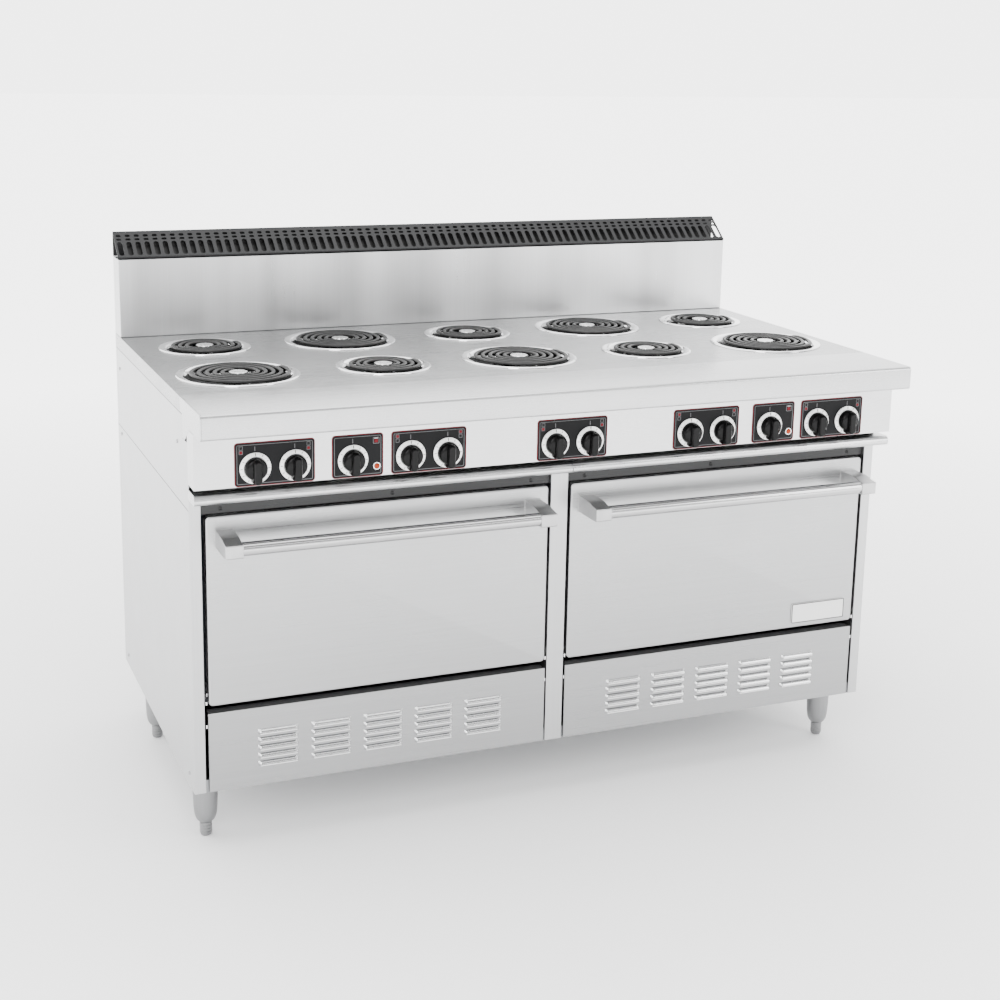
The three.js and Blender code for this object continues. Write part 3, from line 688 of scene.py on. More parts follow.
# ------------------------------------------------------------------ drip bowls and coil elements
xs = [-2 * PITCH, -PITCH, 0, PITCH, 2 * PITCH]
els = []
for i, x in enumerate(xs):
    els.append(("rear_%d" % (i + 1), x, F + 0.530, bool(i % 2)))
    els.append(("front_%d" % (i + 1), x, F + 0.225, not (i % 2)))
for nm, x, y, big in els:
    coil, ring, hole = (0.106, 0.124, 0.114) if big else (0.080, 0.099, 0.089)
    # bowl: rolled outer bead, flat shoulder, inner step, dark dish
    prof = [(ring, 0.0004), (ring - 0.0003, 0.0016), (ring - 0.0016, 0.0026), (ring - 0.0035, 0.0029), (ring - 0.0065, 0.0026), (ring - 0.0115, 0.0016), (ring - 0.0145, 0.0002), (ring - 0.0155, -0.0025),
            (ring - 0.0165, -0.006), (hole - 0.014, -0.018), (hole - 0.022, -0.0245), (hole - 0.034, -0.0268), (0.022, -0.0280), (0.020, -0.0280), (0.020, -0.0290), (hole - 0.034, -0.0277), (hole - 0.021, -0.0255), (hole - 0.0125, -0.019), (ring - 0.0155, -0.006), (ring - 0.0145, -0.0006), (ring - 0.0118, 0.0006)]
    mats = [0] * 8 + [1] * 6 + [0] * 7
    bm = bmesh.new()
    add_lathe(bm, prof, (x, y, TOP), 96, mats=mats)
    bmesh.ops.remove_doubles(bm, verts=bm.verts, dist=1e-6)
    # terminal notch at the back of the dish
    kill = [f for f in bm.faces if abs(f.calc_center_median().x - x) < 0.019 and f.calc_center_median().y > y + 0.045 and f.calc_center_median().z < TOP - 0.010]
    bmesh.ops.delete(bm, geom=kill, context="FACES")
    me_o = obj_from("drip_bowl_%s_spun" % nm, bm, ["chrome", "bowl"], "cabinet", 0, 2, 50)
    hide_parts("drip_bowl_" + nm)

    body = "element_" + nm
    zc = TOP + 0.0045
    rt = 0.0043
    turns = 4.75 if big else 3.25
    r0, r1 = 0.0285, coil - rt + 0.0006
    n = int(turns * 44)
    pts = []
    for i in range(n + 1):
        t = i / n
        a = 0.20 - (1 - t) * turns * 2 * math.pi
        r = r0 + (r1 - r0) * t
        pts.append((x + r * math.cos(a), y + r * math.sin(a), zc))
    # both tails dive through the dish to the terminal block at the rear
    tail_out = [pts[-1]]
    for aa, dr, dz in ((0.28, 0.0, -0.0006), (0.38, 0.0, -0.0022), (0.50, -0.0002, -0.0052), (0.62, -0.0012, -0.0092), (0.76, -0.0042, -0.0150), (0.94, -0.0120, -0.0218), (1.18, -0.0220, -0.0262), (1.40, -0.0220, -0.0272)):
        tail_out.append((x + (r1 + dr) * math.cos(aa), y + (r1 + dr) * math.sin(aa), zc + dz))
    tail_out += [(x + 0.0075, y + r1 - 0.004, TOP - 0.0230), (x + 0.0070, y + coil + 0.018, TOP - 0.0230)]
    bm = bmesh.new()
    add_tube(bm, pts, rt, 12, flat=0.78)
    add_tube(bm, tail_out, rt * 0.85, 10)
    add_tube(bm, [(pts[0][0], pts[0][1], zc), (pts[0][0] * 0.6 + x * 0.4, pts[0][1] * 0.6 + y * 0.4, zc - 0.006), (x - 0.007, y + 0.014, TOP - 0.016), (x - 0.007, y + 0.032, TOP - 0.0225), (x - 0.007, y + coil + 0.018, TOP - 0.023)], rt * 0.85, 10)
    o = obj_from("coil_%s_sheath" % nm, bm, "coil", body, 0, 2, 60)
    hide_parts("coil_element_" + nm)
    # three-armed support, channel section under the sheath
    bm = bmesh.new()
    for k in range(3):
        a = math.pi / 2 + math.pi + k * 2 * math.pi / 3
        d = Vector((math.cos(a), math.sin(a), 0)); q = Vector((-d.y, d.x, 0))
        R = coil - 0.001
        prof = [(0.012, -0.0100), (0.012, -0.0045), (R, -0.0045), (R, -0.0075), (R - 0.006, -0.0100)]
        w = 0.0011
        A = [bm.verts.new(Vector((x, y, zc)) + d * u + q * w + Vector((0, 0, h))) for u, h in prof]
        B = [bm.verts.new(Vector((x, y, zc)) + d * u - q * w + Vector((0, 0, h))) for u, h in prof]
        bm.faces.new(A); bm.faces.new(B[::-1])
        for i in range(len(prof)):
            j = (i + 1) % len(prof)
            bm.faces.new([A[i], B[i], B[j], A[j]])
    o = obj_from("coil_%s_support" % nm, bm, "disc", body, 0.0004, 2, 30)
    # centre disc, dished
    bm = bmesh.new()
    add_lathe(bm, [(0, 0.0016), (0.006, 0.0018), (0.0125, 0.0024), (0.0165, 0.0028), (0.0182, 0.0022), (0.0186, 0.0010), (0.0184, -0.0020), (0.0176, -0.0045), (0, -0.0045)], (x, y, zc - 0.0005), 48)
    obj_from("coil_%s_disc" % nm, bm, "disc", body, 0, 2, 50)
    # ceramic terminal block
    bm = bmesh.new()
    add_box(bm, x - 0.013, x + 0.013, y + coil - 0.002, y + coil + 0.024, TOP - 0.0265, TOP - 0.0195)
    obj_from("coil_%s_terminal" % nm, bm, "white", body, 0.0012, 3, 30)

# ------------------------------------------------------------------ control plates
FY = F - 0.054
PLZ = 0.8015
def plate(name, cx, w, knob_off, oven, flip=False):
    h = 0.084
    bm = bmesh.new()
    add_plate_y(bm, cx, PLZ, w, h, 0.0065, FY + 0.0002, FY - 0.0010, 0)
    o = obj_from(name, bm, "plate", "cabinet", 0.0003, 2, 30)
    bm = bmesh.new()
    y0, y1 = FY - 0.0009, FY - 0.00135
    add_frame_y(bm, cx, PLZ, w - 0.0006, h - 0.0006, 0.0062, 0.0012, y0, y1, 0)
    add_frame_y(bm, cx, PLZ, w - 0.0092, h - 0.0092, 0.0028, 0.0008, y0, y1, 1)
    icon = 0.0055
    def square(x, z, mat, size=icon):
        add_plate_y(bm, x, z, size, size, 0.0003, y0, y1, mat, 2)
    if oven:
        # oven symbol: window with a rail over it
        ox, oz = cx + w / 2 - 0.0145, PLZ + h / 2 - 0.0145
        add_frame_y(bm, ox, oz, 0.0125, 0.0125, 0.0012, 0.0009, y0, y1, 1, 3)
        add_plate_y(bm, ox, oz - 0.001, 0.0068, 0.0062, 0.0004, y0, y1, 0, 2)
        add_plate_y(bm, ox, oz + 0.0042, 0.0072, 0.0009, 0.0002, y0, y1, 2, 2)
    else:
        for sx, lit in ((-1, flip), (1, not flip)):
            ix, iz = cx + sx * (w / 2 - 0.0125), PLZ + h / 2 - 0.0145
            for dz, on in ((0.0042, lit if sx < 0 else not lit), (-0.0042, (not lit) if sx < 0 else lit)):
                add_frame_y(bm, ix, iz + dz, 0.0072, 0.0072, 0.0005, 0.0007, y0, y1, 1, 2)
                square(ix, iz + dz, 0 if on else 3, 0.0050)
    for k in knob_off:
        add_plate_y(bm, cx + k, PLZ + 0.0290, 0.0012, 0.0085, 0.0004, y0, y1, 1, 2)
    obj_from(name + "_print", bm, ["red", "grey", "white", "black"], "cabinet", 0, 2, 30)
    if oven:
        px, pz = cx + 0.0375, PLZ - 0.0225
        bm = bmesh.new()
        add_lathe(bm, [(0, -0.0004), (0.0076, -0.0004), (0.0078, 0.0010), (0.0070, 0.0022), (0.0060, 0.0022), (0.0058, 0.0012), (0, 0.0012)], (px, FY - 0.0008, pz), 32, "Y")
        obj_from(name + "_bezel", bm, "chrome", "cabinet", 0, 2, 40)
        bm = bmesh.new()
        add_lathe(bm, [(0, 0.0005), (0.0056, 0.0005), (0.0056, 0.0022), (0.0048, 0.0040), (0.0030, 0.0050), (0, 0.0054)], (px, FY - 0.0008, pz), 28, "Y")
        obj_from(name + "_pilot", bm, "lamp", "cabinet", 0, 2, 50)
for i, x in enumerate(xs):
    plate("element_plate_%d" % (i + 1), x, 0.154, (-0.038, 0.038), False, i % 2 == 1)
plate("oven_plate_left", -PITCH - 0.144, 0.102, (-0.010,), True)
plate("oven_plate_right", 2 * PITCH - 0.144, 0.102, (-0.010,), True)

# ------------------------------------------------------------------ knobs
for i in range(12):
    nm = "knob_%02d" % (i + 1)
    lo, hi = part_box(nm)
    cx, cz = (lo.x + hi.x) / 2, 0.794
    y0 = F - 0.054 - 0.0016
    body = nm
    bm = bmesh.new()
    add_lathe(bm, [(0, 0.0002), (0.0292, 0.0002), (0.0298, 0.0009), (0.0300, 0.0018), (0.0297, 0.0027), (0.0288, 0.0031), (0.0232, 0.0042), (0.0222, 0.0042), (0.0215, 0.0036), (0, 0.0036)], (cx, y0, cz), 72, "Y")
    o = obj_from(nm + "_dial", bm, "skirt", body, 0, 2, 40)
    bm = bmesh.new()
    for k in range(11):
        a = math.radians(90 - 30 * k) if k else math.radians(90)
        a = math.radians(90 - 30 * k)
        L = 0.0042 if k else 0.0055
        w = 0.0010 if k else 0.0016
        rm = 0.0262
        d = Vector((math.cos(a), 0, math.sin(a))); q = Vector((-d.z, 0, d.x))
        c = Vector((cx, 0, cz)) + d * rm
        yb, yf = y0 - 0.0030, y0 - 0.0041
        vs = []
        for yy in (yb, yf):
            for su, sv in ((-1, -1), (1, -1), (1, 1), (-1, 1)):
                p = c + d * (su * L / 2) + q * (sv * w / 2)
                vs.append(bm.verts.new((p.x, yy, p.z)))
        for f in ((0, 1, 2, 3), (7, 6, 5, 4), (0, 4, 5, 1), (1, 5, 6, 2), (2, 6, 7, 3), (3, 7, 4, 0)):
            bm.faces.new([vs[j] for j in f])
    obj_from(nm + "_ticks", bm, "black", body, 0, 2, 30)
    # black body: stepped dome
    bm = bmesh.new()
    add_lathe(bm, [(0, 0.0030), (0.0222, 0.0030), (0.0226, 0.0048), (0.0222, 0.0072), (0.0212, 0.0120), (0.0204, 0.0152), (0.0190, 0.0174), (0.0165, 0.0186), (0, 0.0190)], (cx, y0, cz), 64, "Y")
    o = obj_from(nm + "_body", bm, "knob", body, 0, 2, 50)
    # grip: tapered bar with rounded crown, longer at the pointer end
    bm = bmesh.new()
    secs = [(0.0035, 0.0092, 0.0210, -0.0292), (0.0120, 0.0088, 0.0206, -0.0288), (0.0225, 0.0080, 0.0196, -0.0276), (0.0275, 0.0070, 0.0182, -0.0260), (0.0293, 0.0052, 0.0162, -0.0238)]
    rings = []
    for (dy, hwid, zt, zb) in secs:
        ring = []
        k = 8
        rr = hwid
        for j in range(k + 1):
            a = math.pi * j / k
            ring.append((cx + hwid * math.cos(a), cz + zt - rr * 0.75 + rr * 0.75 * math.sin(a)))
        for j in range(k + 1):
            a = math.pi + math.pi * j / k
            ring.append((cx + hwid * math.cos(a), cz + zb + rr * 0.75 + rr * 0.75 * math.sin(a)))
        rings.append([bm.verts.new((px, y0 - dy, pz)) for px, pz in ring])
    for A, B in zip(rings, rings[1:]):
        n_ = len(A)
        for j in range(n_):
            bm.faces.new([A[j], A[(j + 1) % n_], B[(j + 1) % n_], B[j]])
    bm.faces.new(rings[0][::-1]); bm.faces.new(rings[-1])
    obj_from(nm + "_grip", bm, "knob", body, 0, 2, 38)
    # shaft
    bm = bmesh.new()
    add_lathe(bm, [(0, -0.0165), (0.0028, -0.0165), (0.0030, -0.0160), (0.0030, 0.0004), (0, 0.0004)], (cx, y0, cz), 24, "Y")
    sh = obj_from(nm + "_shaft", bm, "screw", body, 0, 2, 40)
    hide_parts(nm)

# ------------------------------------------------------------------ door pans, pressed with rounded edges
for side in ("left", "right"):
    lo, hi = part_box("door_skin_" + side)
    bm = bmesh.new()
    cxd, czd = (lo.x + hi.x) / 2, (lo.z + hi.z) / 2
    wd, hd = hi.x - lo.x, hi.z - lo.z
    k = 9
    loops = []
    prof = [(0.0, hi.y)] + [(0.0034 - 0.0034 * math.cos(math.pi / 2 * i / 5), lo.y + 0.0034 - 0.0034 * math.sin(math.pi / 2 * i / 5)) for i in range(6)]
    for inset, yy in prof:
        pts = rounded_rect(wd - 2 * inset, hd - 2 * inset, max(0.0085 - inset, 0.002), k)
        loops.append([bm.verts.new((cxd + px, yy, czd + pz)) for px, pz in pts])
    n_ = len(loops[0])
    for A, B in zip(loops, loops[1:]):
        for i in range(n_):
            bm.faces.new([A[i], A[(i + 1) % n_], B[(i + 1) % n_], B[i]])
    bm.faces.new(loops[-1])
    ins = [bm.verts.new((cxd + px, hi.y, czd + pz)) for px, pz in rounded_rect(wd - 0.005, hd - 0.005, 0.006, k)]
    deep = [bm.verts.new((cxd + px, lo.y + 0.0025, czd + pz)) for px, pz in rounded_rect(wd - 0.005, hd - 0.005, 0.006, k)]
    for i in range(n_):
        bm.faces.new([loops[0][i], ins[i], ins[(i + 1) % n_], loops[0][(i + 1) % n_]])
        bm.faces.new([ins[i], deep[i], deep[(i + 1) % n_], ins[(i + 1) % n_]])
    bm.faces.new(deep)
    o = obj_from("door_pan_" + side, bm, "steel_x", "door_" + side, 0, 2, 40)
    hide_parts("door_skin_" + side)
    # inner face: pressed panel and liner screws
    bm = bmesh.new()
    yb0 = F + 0.0329
    pts0 = rounded_rect(wd - 0.110, hd - 0.095, 0.020, 6)
    a_ = [bm.verts.new((cxd + px, yb0, czd + pz)) for px, pz in pts0]
    b_ = [bm.verts.new((cxd + px * 0.972, yb0 + 0.0028, czd + pz * 0.95)) for px, pz in pts0]
    for i in range(len(pts0)):
        bm.faces.new([a_[i], b_[i], b_[(i + 1) % len(pts0)], a_[(i + 1) % len(pts0)]])
    bm.faces.new(b_)
    bm.faces.new(a_[::-1])
    obj_from("door_inner_press_" + side, bm, "enamel", "door_" + side, 0.0009, 3, 30)
    for j in range(8):
        bm = bmesh.new()
        px = cxd - 0.300 + 0.0857 * j
        for pz in (hi.z - 0.016, lo.z + 0.016):
            add_lathe(bm, [(0, 0), (0.0036, 0), (0.0037, 0.0005), (0.0030, 0.0016), (0.0010, 0.0018), (0.0009, 0.0010), (0, 0.0010)], (px, -(0), pz), 16, "Y")
        bmesh.ops.scale(bm, vec=(1, -1, 1), verts=bm.verts)
        bmesh.ops.translate(bm, verts=bm.verts, vec=(0, F + 0.0329, 0))
        obj_from("door_liner_screws_%s_%d" % (side, j), bm, "screw", "door_" + side, 0, 2, 40)

# ------------------------------------------------------------------ door furniture
for s, side in ((-1, "left"), (1, "right")):
    body = "door_" + side
    lo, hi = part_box("door_handle_" + side)
    x0, x1 = lo.x, hi.x
    yb, zb = F - 0.0735, 0.6455
    # tube
    bm = bmesh.new()
    n = 40
    r = 0.0133
    ra, rb = [], []
    for k in range(n):
        a = 2 * math.pi * k / n
        ra.append(bm.verts.new((x0 + 0.030, yb + r * math.cos(a), zb + r * math.sin(a))))
        rb.append(bm.verts.new((x1 - 0.030, yb + r * math.cos(a), zb + r * math.sin(a))))
    for k in range(n):
        bm.faces.new([ra[k], ra[(k + 1) % n], rb[(k + 1) % n], rb[k]])
    bm.faces.new(ra[::-1]); bm.faces.new(rb)
    o = obj_from("handle_tube_" + side, bm, "bar", body, 0, 2, 40)
    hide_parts("door_handle_" + side)
    # cast brackets
    yd = F - DOOR_OUT - 0.0002
    for e, (a, b) in (("left", (x0, x0 + 0.034)), ("right", (x1 - 0.034, x1))):
        pts = [(yd, 0.6305), (yd, 0.6650), (F - 0.030, 0.6646), (F - 0.052, 0.6636), (F - 0.061, 0.6618), (F - 0.0655, 0.6602), (F - 0.0870, 0.6575), (F - 0.0882, 0.6560), (F - 0.0882, 0.6335), (F - 0.0866, 0.6315), (F - 0.066, 0.6305), (F - 0.040, 0.6305)]
        bm = bmesh.new()
        add_prism_x(bm, pts, a, b)
        obj_from("handle_bracket_%s_%s" % (side, e), bm, "cast", body, 0.0022, 4, 40)
        # thin seat where the casting meets the door
        bm = bmesh.new()
        add_plate_y(bm, (a + b) / 2, 0.6478, 0.0375, 0.0385, 0.0030, F - DOOR_OUT + 0.0001, F - DOOR_OUT - 0.0013, 0)
        obj_from("handle_seat_%s_%s" % (side, e), bm, "cast", body, 0.0004, 2, 30)
    # hinge arms low at each side of the door
    for e, xx in (("left", (-1)), ("right", (1))):
        xc = s * DXC + xx * 0.3515
        bm = bmesh.new()
        add_box(bm, xc - 0.0012, xc + 0.0012, F + 0.004, F + 0.028, 0.3175, 0.352)
        obj_from("hinge_arm_%s_%s" % (side, e), bm, "screw", body, 0.0006, 2, 30)
        bm = bmesh.new()
        add_lathe(bm, [(0, 0), (0.0045, 0), (0.0050, 0.0005), (0.0050, 0.0020), (0.0040, 0.0032), (0, 0.0034)], (0, 0, 0), 24, "Z")
        bmesh.ops.rotate(bm, verts=bm.verts, cent=(0, 0, 0), matrix=Matrix.Rotation(math.radians(90 * xx), 3, "Y"))
        bmesh.ops.translate(bm, verts=bm.verts, vec=(xc + xx * 0.0012, F + 0.016, 0.330))
        obj_from("hinge_rivet_%s_%s" % (side, e), bm, "screw", body, 0, 2, 40)
    # oven gasket on the cavity flange
    cx = s * DXC
    pts = []
    w, h, r = 0.678, 0.361, 0.022
    for px, pz in rounded_rect(w, h, r, 6):
        pts.append((cx + px, F + 0.0355, 0.5015 + pz))
    bm = bmesh.new()
    add_tube_pts = pts
    P = [Vector(p) for p in pts]
    rings = []
    nn = len(P)
    for i in range(nn):
        t = (P[(i + 1) % nn] - P[i - 1]).normalized()
        u = Vector((0, 1, 0))
        q = t.cross(u).normalized()
        rings.append([bm.verts.new(P[i] + q * (0.0045 * math.cos(2 * math.pi * k / 10)) + u * (0.0023 * math.sin(2 * math.pi * k / 10))) for k in range(10)])
    for i in range(nn):
        A, B = rings[i], rings[(i + 1) % nn]
        for k in range(10):
            bm.faces.new([A[k], A[(k + 1) % 10], B[(k + 1) % 10], B[k]])
    obj_from("oven_gasket_" + side, bm, "gasket", "cabinet", 0, 2, 60)
    # wire rack
    lo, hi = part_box("oven_rack_" + side)
    rz = 0.4985
    rb_ = "rack_" + side
    bm = bmesh.new()
    loop = []
    w, d = (hi.x - lo.x) - 0.006, (hi.y - lo.y) - 0.006
    cxx, cyy = (lo.x + hi.x) / 2, (lo.y + hi.y) / 2
    for px, py in rounded_rect(w, d, 0.018, 6):
        loop.append((cxx + px, cyy + py, rz))
    add_tube(bm, loop, 0.0029, 12, closed=True)
    add_tube(bm, [(lo.x + 0.004, cyy - 0.12, rz), (hi.x - 0.004, cyy - 0.12, rz)], 0.0026, 12)
    add_tube(bm, [(lo.x + 0.004, cyy + 0.12, rz), (hi.x - 0.004, cyy + 0.12, rz)], 0.0026, 12)
    k = 22
    for i in range(1, k):
        xx = lo.x + (hi.x - lo.x) * i / k
        add_tube(bm, [(xx, lo.y + 0.003, rz + 0.0022), (xx, hi.y - 0.003, rz + 0.0022)], 0.0017, 8)
    o = obj_from("rack_wires_" + side, bm, "chrome", rb_, 0, 2, 50)
    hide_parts("oven_rack_" + side)

# ------------------------------------------------------------------ fasteners on the recessed cross rail, in the near-black recess steel as painted shade
for x in (-0.700, -0.357, -0.060, 0.060, 0.357, 0.700):
    bm = bmesh.new()
    add_lathe(bm, [(0, 0), (0.0042, 0), (0.0044, 0.0006), (0.0038, 0.0020), (0.0022, 0.0028), (0.0012, 0.0029), (0.0010, 0.0018), (0, 0.0018)], (x, F + 0.010, 0.7035), 24, "Y")
    obj_from("rail_screw_%d" % round((x + 1) * 1000), bm, "steel_dark", "cabinet", 0, 2, 40)

# ------------------------------------------------------------------ recess strips and clips round the doors
for sx_, side in ((-1, "left"), (1, "right")):
    a_, b_ = sorted((sx_ * 0.0195, sx_ * (HW - 0.0235)))
    bm = bmesh.new()
    # near-black stainless strip in the recess: painted shade
    add_box(bm, a_, b_, F + 0.0088, F + 0.0098, 0.6945, 0.7272)
    obj_from("recess_strip_" + side, bm, "steel_dark", "cabinet", 0, 2, 30)
    # keeper clips in the slots beside each door and lower panel
    for e, xx in (("in", 0.0222), ("out", 0.7352)):
        for j, zz in enumerate((0.2700, 0.3180)):
            bm = bmesh.new()
            add_box(bm, sx_ * xx - 0.0016, sx_ * xx + 0.0016, F + 0.0005, F + 0.0040, zz - 0.0035, zz + 0.0035)
            obj_from("keeper_%s_%s_%d" % (side, e, j), bm, "chrome", "cabinet", 0.0006, 2, 30)

# ------------------------------------------------------------------ seams and fasteners on the outer sheets
for sx_, side in ((-1, "left"), (1, "right")):
    bm = bmesh.new()
    xa, xb = sorted((sx_ * (HW - 0.0002), sx_ * (HW + 0.0003)))
    add_box(bm, xa, xb, F + 0.0006, REAR - 0.001, 0.7052, 0.7062)
    obj_from("side_seam_" + side, bm, "black", "cabinet", 0, 2, 30)
    for j, (yy, zz) in enumerate(((F + 0.045, 0.160), (REAR - 0.045, 0.160), (REAR - 0.045, 0.690), (REAR - 0.045, 0.840), (F + 0.090, 0.820))):
        bm = bmesh.new()
        add_lathe(bm, [(0, 0), (0.0040, 0), (0.0042, 0.0005), (0.0035, 0.0018), (0.0018, 0.0024), (0.0010, 0.0024), (0.0009, 0.0014), (0, 0.0014)], (0, 0, 0), 24, "Z")
        bmesh.ops.rotate(bm, verts=bm.verts, cent=(0, 0, 0), matrix=Matrix.Rotation(math.radians(90 * sx_), 3, "Y"))
        bmesh.ops.translate(bm, verts=bm.verts, vec=(sx_ * HW, yy, zz))
        obj_from("side_screw_%s_%d" % (side, j), bm, "screw", "cabinet", 0, 2, 40)
for sx_, side in ((-1, "left"), (1, "right")):
    # near-black strip inside the top of each side sheet: painted shade in the gap under the worktop flange
    bm = bmesh.new()
    xa, xb = sorted((sx_ * (HW - 0.0024), sx_ * (HW - 0.0003)))
    add_box(bm, xa, xb, F + 0.0700, REAR - 0.001, 0.8822, 0.8843)
    obj_from("flange_gap_painted_shade_" + side, bm, "black", "cabinet", 0, 2, 30)
# rear sheet: rows of screws and swaged stiffeners
for j, xx in enumerate((-0.70, -0.42, -0.14, 0.14, 0.42, 0.70)):
    for k, zz in enumerate((0.155, 0.865)):
        bm = bmesh.new()
        add_lathe(bm, [(0, 0), (0.0045, 0), (0.0047, 0.0005), (0.0040, 0.0020), (0.0020, 0.0026), (0.0011, 0.0026), (0.0010, 0.0015), (0, 0.0015)], (0, 0, 0), 24, "Z")
        bmesh.ops.rotate(bm, verts=bm.verts, cent=(0, 0, 0), matrix=Matrix.Rotation(math.radians(-90), 3, "X"))
        bmesh.ops.translate(bm, verts=bm.verts, vec=(xx, REAR, zz))
        obj_from("rear_screw_%d_%d" % (j, k), bm, "screw", "cabinet", 0, 2, 40)
for j, xx in enumerate((-0.50, -0.25, 0.0, 0.25, 0.50)):
    bm = bmesh.new()
    pts = rounded_rect(0.034, 0.560, 0.0165, 8)
    outer = [bm.verts.new((xx + px, REAR, 0.510 + pz)) for px, pz in pts]
    mid = [bm.verts.new((xx + px * 0.62, REAR + 0.0030, 0.510 + pz * 0.985)) for px, pz in pts]
    n_ = len(pts)
    for i in range(n_):
        bm.faces.new([outer[i], outer[(i + 1) % n_], mid[(i + 1) % n_], mid[i]])
    bm.faces.new(mid)
    bm.faces.new(outer[::-1])
    obj_from("rear_swage_%d" % j, bm, "galv", "cabinet", 0.0008, 3, 30)

# ------------------------------------------------------------------ oven hardware: bake elements and broil loops
for sx_, side in ((-1, "left"), (1, "right")):
    xc = sx_ * DXC
    bm = bmesh.new()
    for zz, inset in ((0.3385, 0.030), (0.6600, 0.030)):
        loop = []
        n_b = 5
        x0_, x1_ = xc - 0.330 + inset, xc + 0.330 - inset
        ya, yb_ = F + 0.110, F + 0.560
        for q in range(n_b + 1):
            xx = x0_ + (x1_ - x0_) * q / n_b
            rr_ = (x1_ - x0_) / n_b / 2
            if q % 2 == 0:
                loop += [(xx, yb_ if q else yb_ + 0.036, zz), (xx, ya + rr_, zz)]
            else:
                loop += [(xx, ya + rr_, zz), (xx, yb_ if q < n_b else yb_ + 0.036, zz)]
        # rounded turns at each end of the runs
        path = []
        for q in range(n_b + 1):
            xx = x0_ + (x1_ - x0_) * q / n_b
            rr_ = (x1_ - x0_) / n_b / 2
            lo_y, hi_y = ya + rr_, yb_ - rr_
            if q == 0:
                path += [(xx, F + 0.596, zz), (xx, lo_y, zz)]
            elif q % 2 == 1:
                path += [(xx - rr_ + rr_ * math.cos(math.pi + math.pi * t / 10), lo_y + rr_ * math.sin(math.pi + math.pi * t / 10), zz) for t in range(1, 11)]
                path += [(xx, hi_y if q < n_b else F + 0.596, zz)]
            else:
                path += [(xx - rr_ + rr_ * math.cos(math.pi - math.pi * t / 10), hi_y + rr_ * math.sin(math.pi - math.pi * t / 10), zz) for t in range(1, 11)]
                path += [(xx, lo_y, zz)]
        add_tube(bm, path, 0.0042, 10)
    obj_from("bake_broil_loops_" + side, bm, "coil", "cabinet", 0, 2, 60)

# ------------------------------------------------------------------ plain badge plate on the right door
bm = bmesh.new()
add_plate_y(bm, 0.640, 0.3455, 0.135, 0.044, 0.003, F - DOOR_OUT + 0.0001, F - DOOR_OUT - 0.0030, 0)
obj_from("blank_badge", bm, "white", "door_right", 0.0005, 3, 30)
# dark rim round the badge: painted shadow line at its edge
bm = bmesh.new()
add_frame_y(bm, 0.640, 0.3455, 0.1350, 0.0440, 0.0029, 0.0016, F - DOOR_OUT - 0.0029, F - DOOR_OUT - 0.0034, 0)
obj_from("blank_badge_line", bm, "badge_line", "door_right", 0, 2, 30)

# ------------------------------------------------------------------ floor, lights, camera
WORLD = 5.0
FLOOR_GLOW = 2.4
def stage_plane(name, size, mat, loc=(0, 0, 0)):
    me = D.meshes.new(name)
    s = size / 2
    me.from_pydata([(-s, -s, 0), (s, -s, 0), (s, s, 0), (-s, s, 0)], [], [(0, 1, 2, 3)])
    o = D.objects.new(name, me)
    o.location = loc
    C.scene.collection.objects.link(o)
    me.materials.append(mat)
    o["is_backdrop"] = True
    return o
fm, fnt, fb = new_mat("studio_floor")
fb.inputs["Base Color"].default_value = (0.93, 0.93, 0.93, 1)
fb.inputs["Roughness"].default_value = 0.8
fb.inputs["Specular IOR Level"].default_value = 0.1
ftc = fnt.nodes.new("ShaderNodeTexCoord")
fln = fnt.nodes.new("ShaderNodeVectorMath")
fln.operation = "LENGTH"
fnt.links.new(ftc.outputs["Object"], fln.inputs[0])
fb.inputs["Emission Color"].default_value = (1, 1, 1, 1)
fnt.links.new(maprange(fnt, fln.outputs["Value"], 0.9, 4.2, 0.10, FLOOR_GLOW), fb.inputs["Emission Strength"])
stage_plane("floor", 80, fm, (0, 0, -0.0005))

world = D.worlds.new("studio")
C.scene.world = world
world.use_nodes = True
wn = world.node_tree
bg = wn.nodes["Background"]
tc = wn.nodes.new("ShaderNodeTexCoord")
sx = wn.nodes.new("ShaderNodeSeparateXYZ")
wn.links.new(tc.outputs["Generated"], sx.inputs[0])
def wramp(sock, a0, a1, stops):
    r = ramp(wn, maprange(wn, sock, a0, a1, 0, 1), [(p, (v, v, v)) for p, v in stops])
    return r
# in front: bright low band, darker above, with soft upright bands across
low = wramp(sx.outputs["Z"], 0, 1, [(0.0, 0.62), (0.16, 0.60), (0.34, 0.22), (0.45, 0.22), (0.48, 1.30), (0.55, 1.30), (0.58, 0.22), (0.70, 0.20), (1.0, 0.40)])
bands = wramp(sx.outputs["X"], -1, 1, [(0.0, 1.0), (0.16, 0.85), (0.30, 0.55), (0.42, 0.85), (0.56, 0.50), (0.70, 0.75), (0.84, 0.55), (1.0, 0.85)])
front = mix_color(wn, 1.0, low, bands, "MULTIPLY")
back = wramp(sx.outputs["Z"], 0, 1, [(0.0, 0.90), (0.45, 0.84), (1.0, 0.45)])
side_f = maprange(wn, sx.outputs["Y"], -0.45, 0.10, 0, 1)
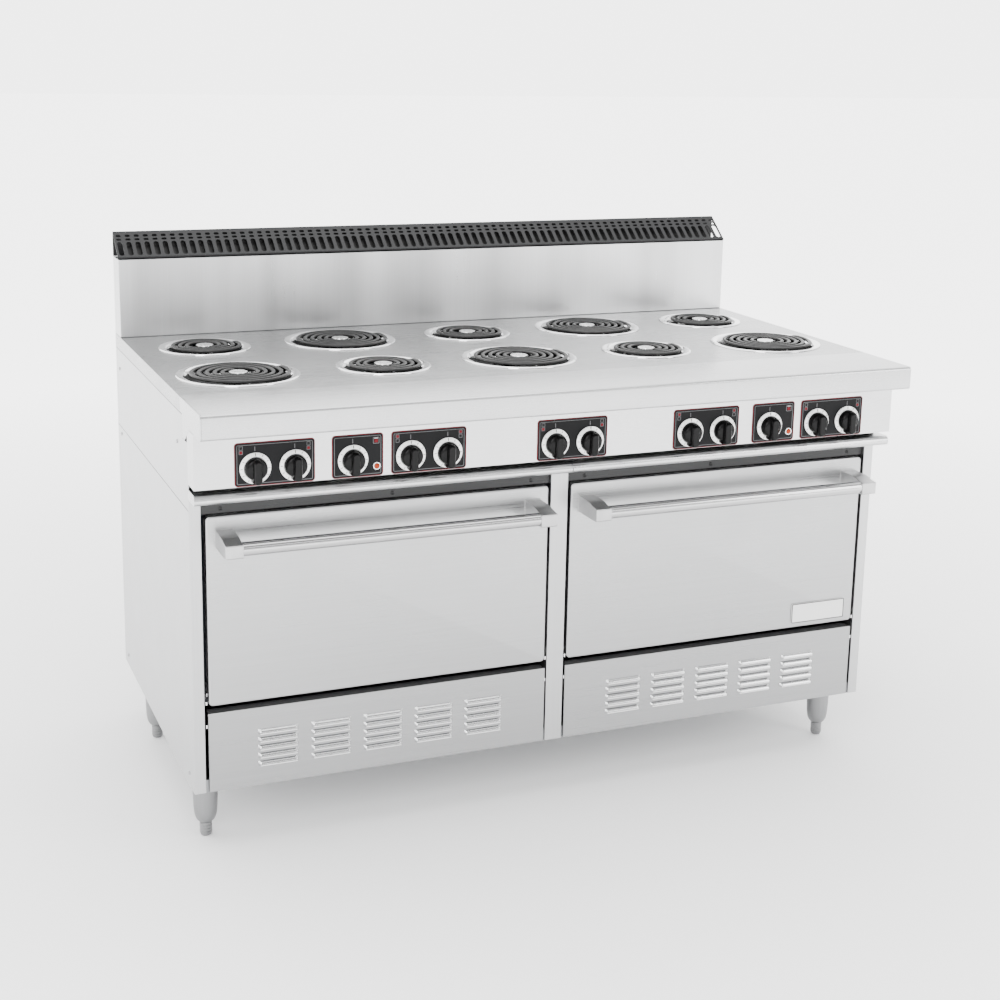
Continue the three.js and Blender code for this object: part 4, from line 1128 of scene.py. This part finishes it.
# the far right of the studio is dimmer, which gives the right side its tone
right = wramp(sx.outputs["X"], 0.66, 0.96, [(0.0, 1.0), (1.0, 0.62)])
wn.links.new(mix_color(wn, 1.0, mix_color(wn, side_f, front, back), right, "MULTIPLY"), bg.inputs["Color"])
bg.inputs["Strength"].default_value = WORLD

def area(name, loc, target, size, power, size_y=None):
    l = D.lights.new(name, "AREA")
    l.shape = "RECTANGLE"
    l.size = size
    l.size_y = size_y or size
    l.energy = power
    o = D.objects.new(name, l)
    o.location = loc
    d = Vector(target) - Vector(loc)
    o.rotation_euler = d.to_track_quat("-Z", "Y").to_euler()
    C.scene.collection.objects.link(o)
    return o
area("key", (-2.4, -3.6, 3.0), (0, 0, 0.6), 1.6, 150, 2.4)
area("fill", (3.2, -3.6, 2.4), (0, 0, 0.6), 1.2, 70, 2.6)
area("top", (0, -0.6, 4.2), (0, -0.4, 0.0), 3.4, 110)

def look(px, py, x, y, z, yaw, pitch, roll, f):
    """Camera from a position, heading to the right of +Y, downward pitch and roll, in degrees."""
    cam = D.cameras.new("camera")
    cam.sensor_width = 36
    cam.lens = f * 36 / 1000
    cam.shift_x = (500 - px) / 1000
    cam.shift_y = (py - 500) / 1000
    cam.clip_start, cam.clip_end = 0.05, 100
    o = D.objects.new("camera", cam)
    yw, pt, rl = map(math.radians, (yaw, pitch, roll))
    fwd0 = Vector((math.sin(yw), math.cos(yw), 0)); right0 = Vector((math.cos(yw), -math.sin(yw), 0)); up0 = Vector((0, 0, 1))
    fwd = fwd0 * math.cos(pt) - up0 * math.sin(pt)
    up = up0 * math.cos(pt) + fwd0 * math.sin(pt)
    right = right0 * math.cos(rl) + up * math.sin(rl)
    up2 = up * math.cos(rl) - right0 * math.sin(rl)
    m = Matrix((right, up2, -fwd)).transposed().to_4x4()
    m.translation = Vector((x, y, z)) / 1000
    o.matrix_world = m
    C.scene.collection.objects.link(o)
    C.scene.camera = o
look(500, 400, -1366.3, -3268.8, 1579.9, 22.664, 12.408, 1.113, 1644.4)

lo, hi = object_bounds()
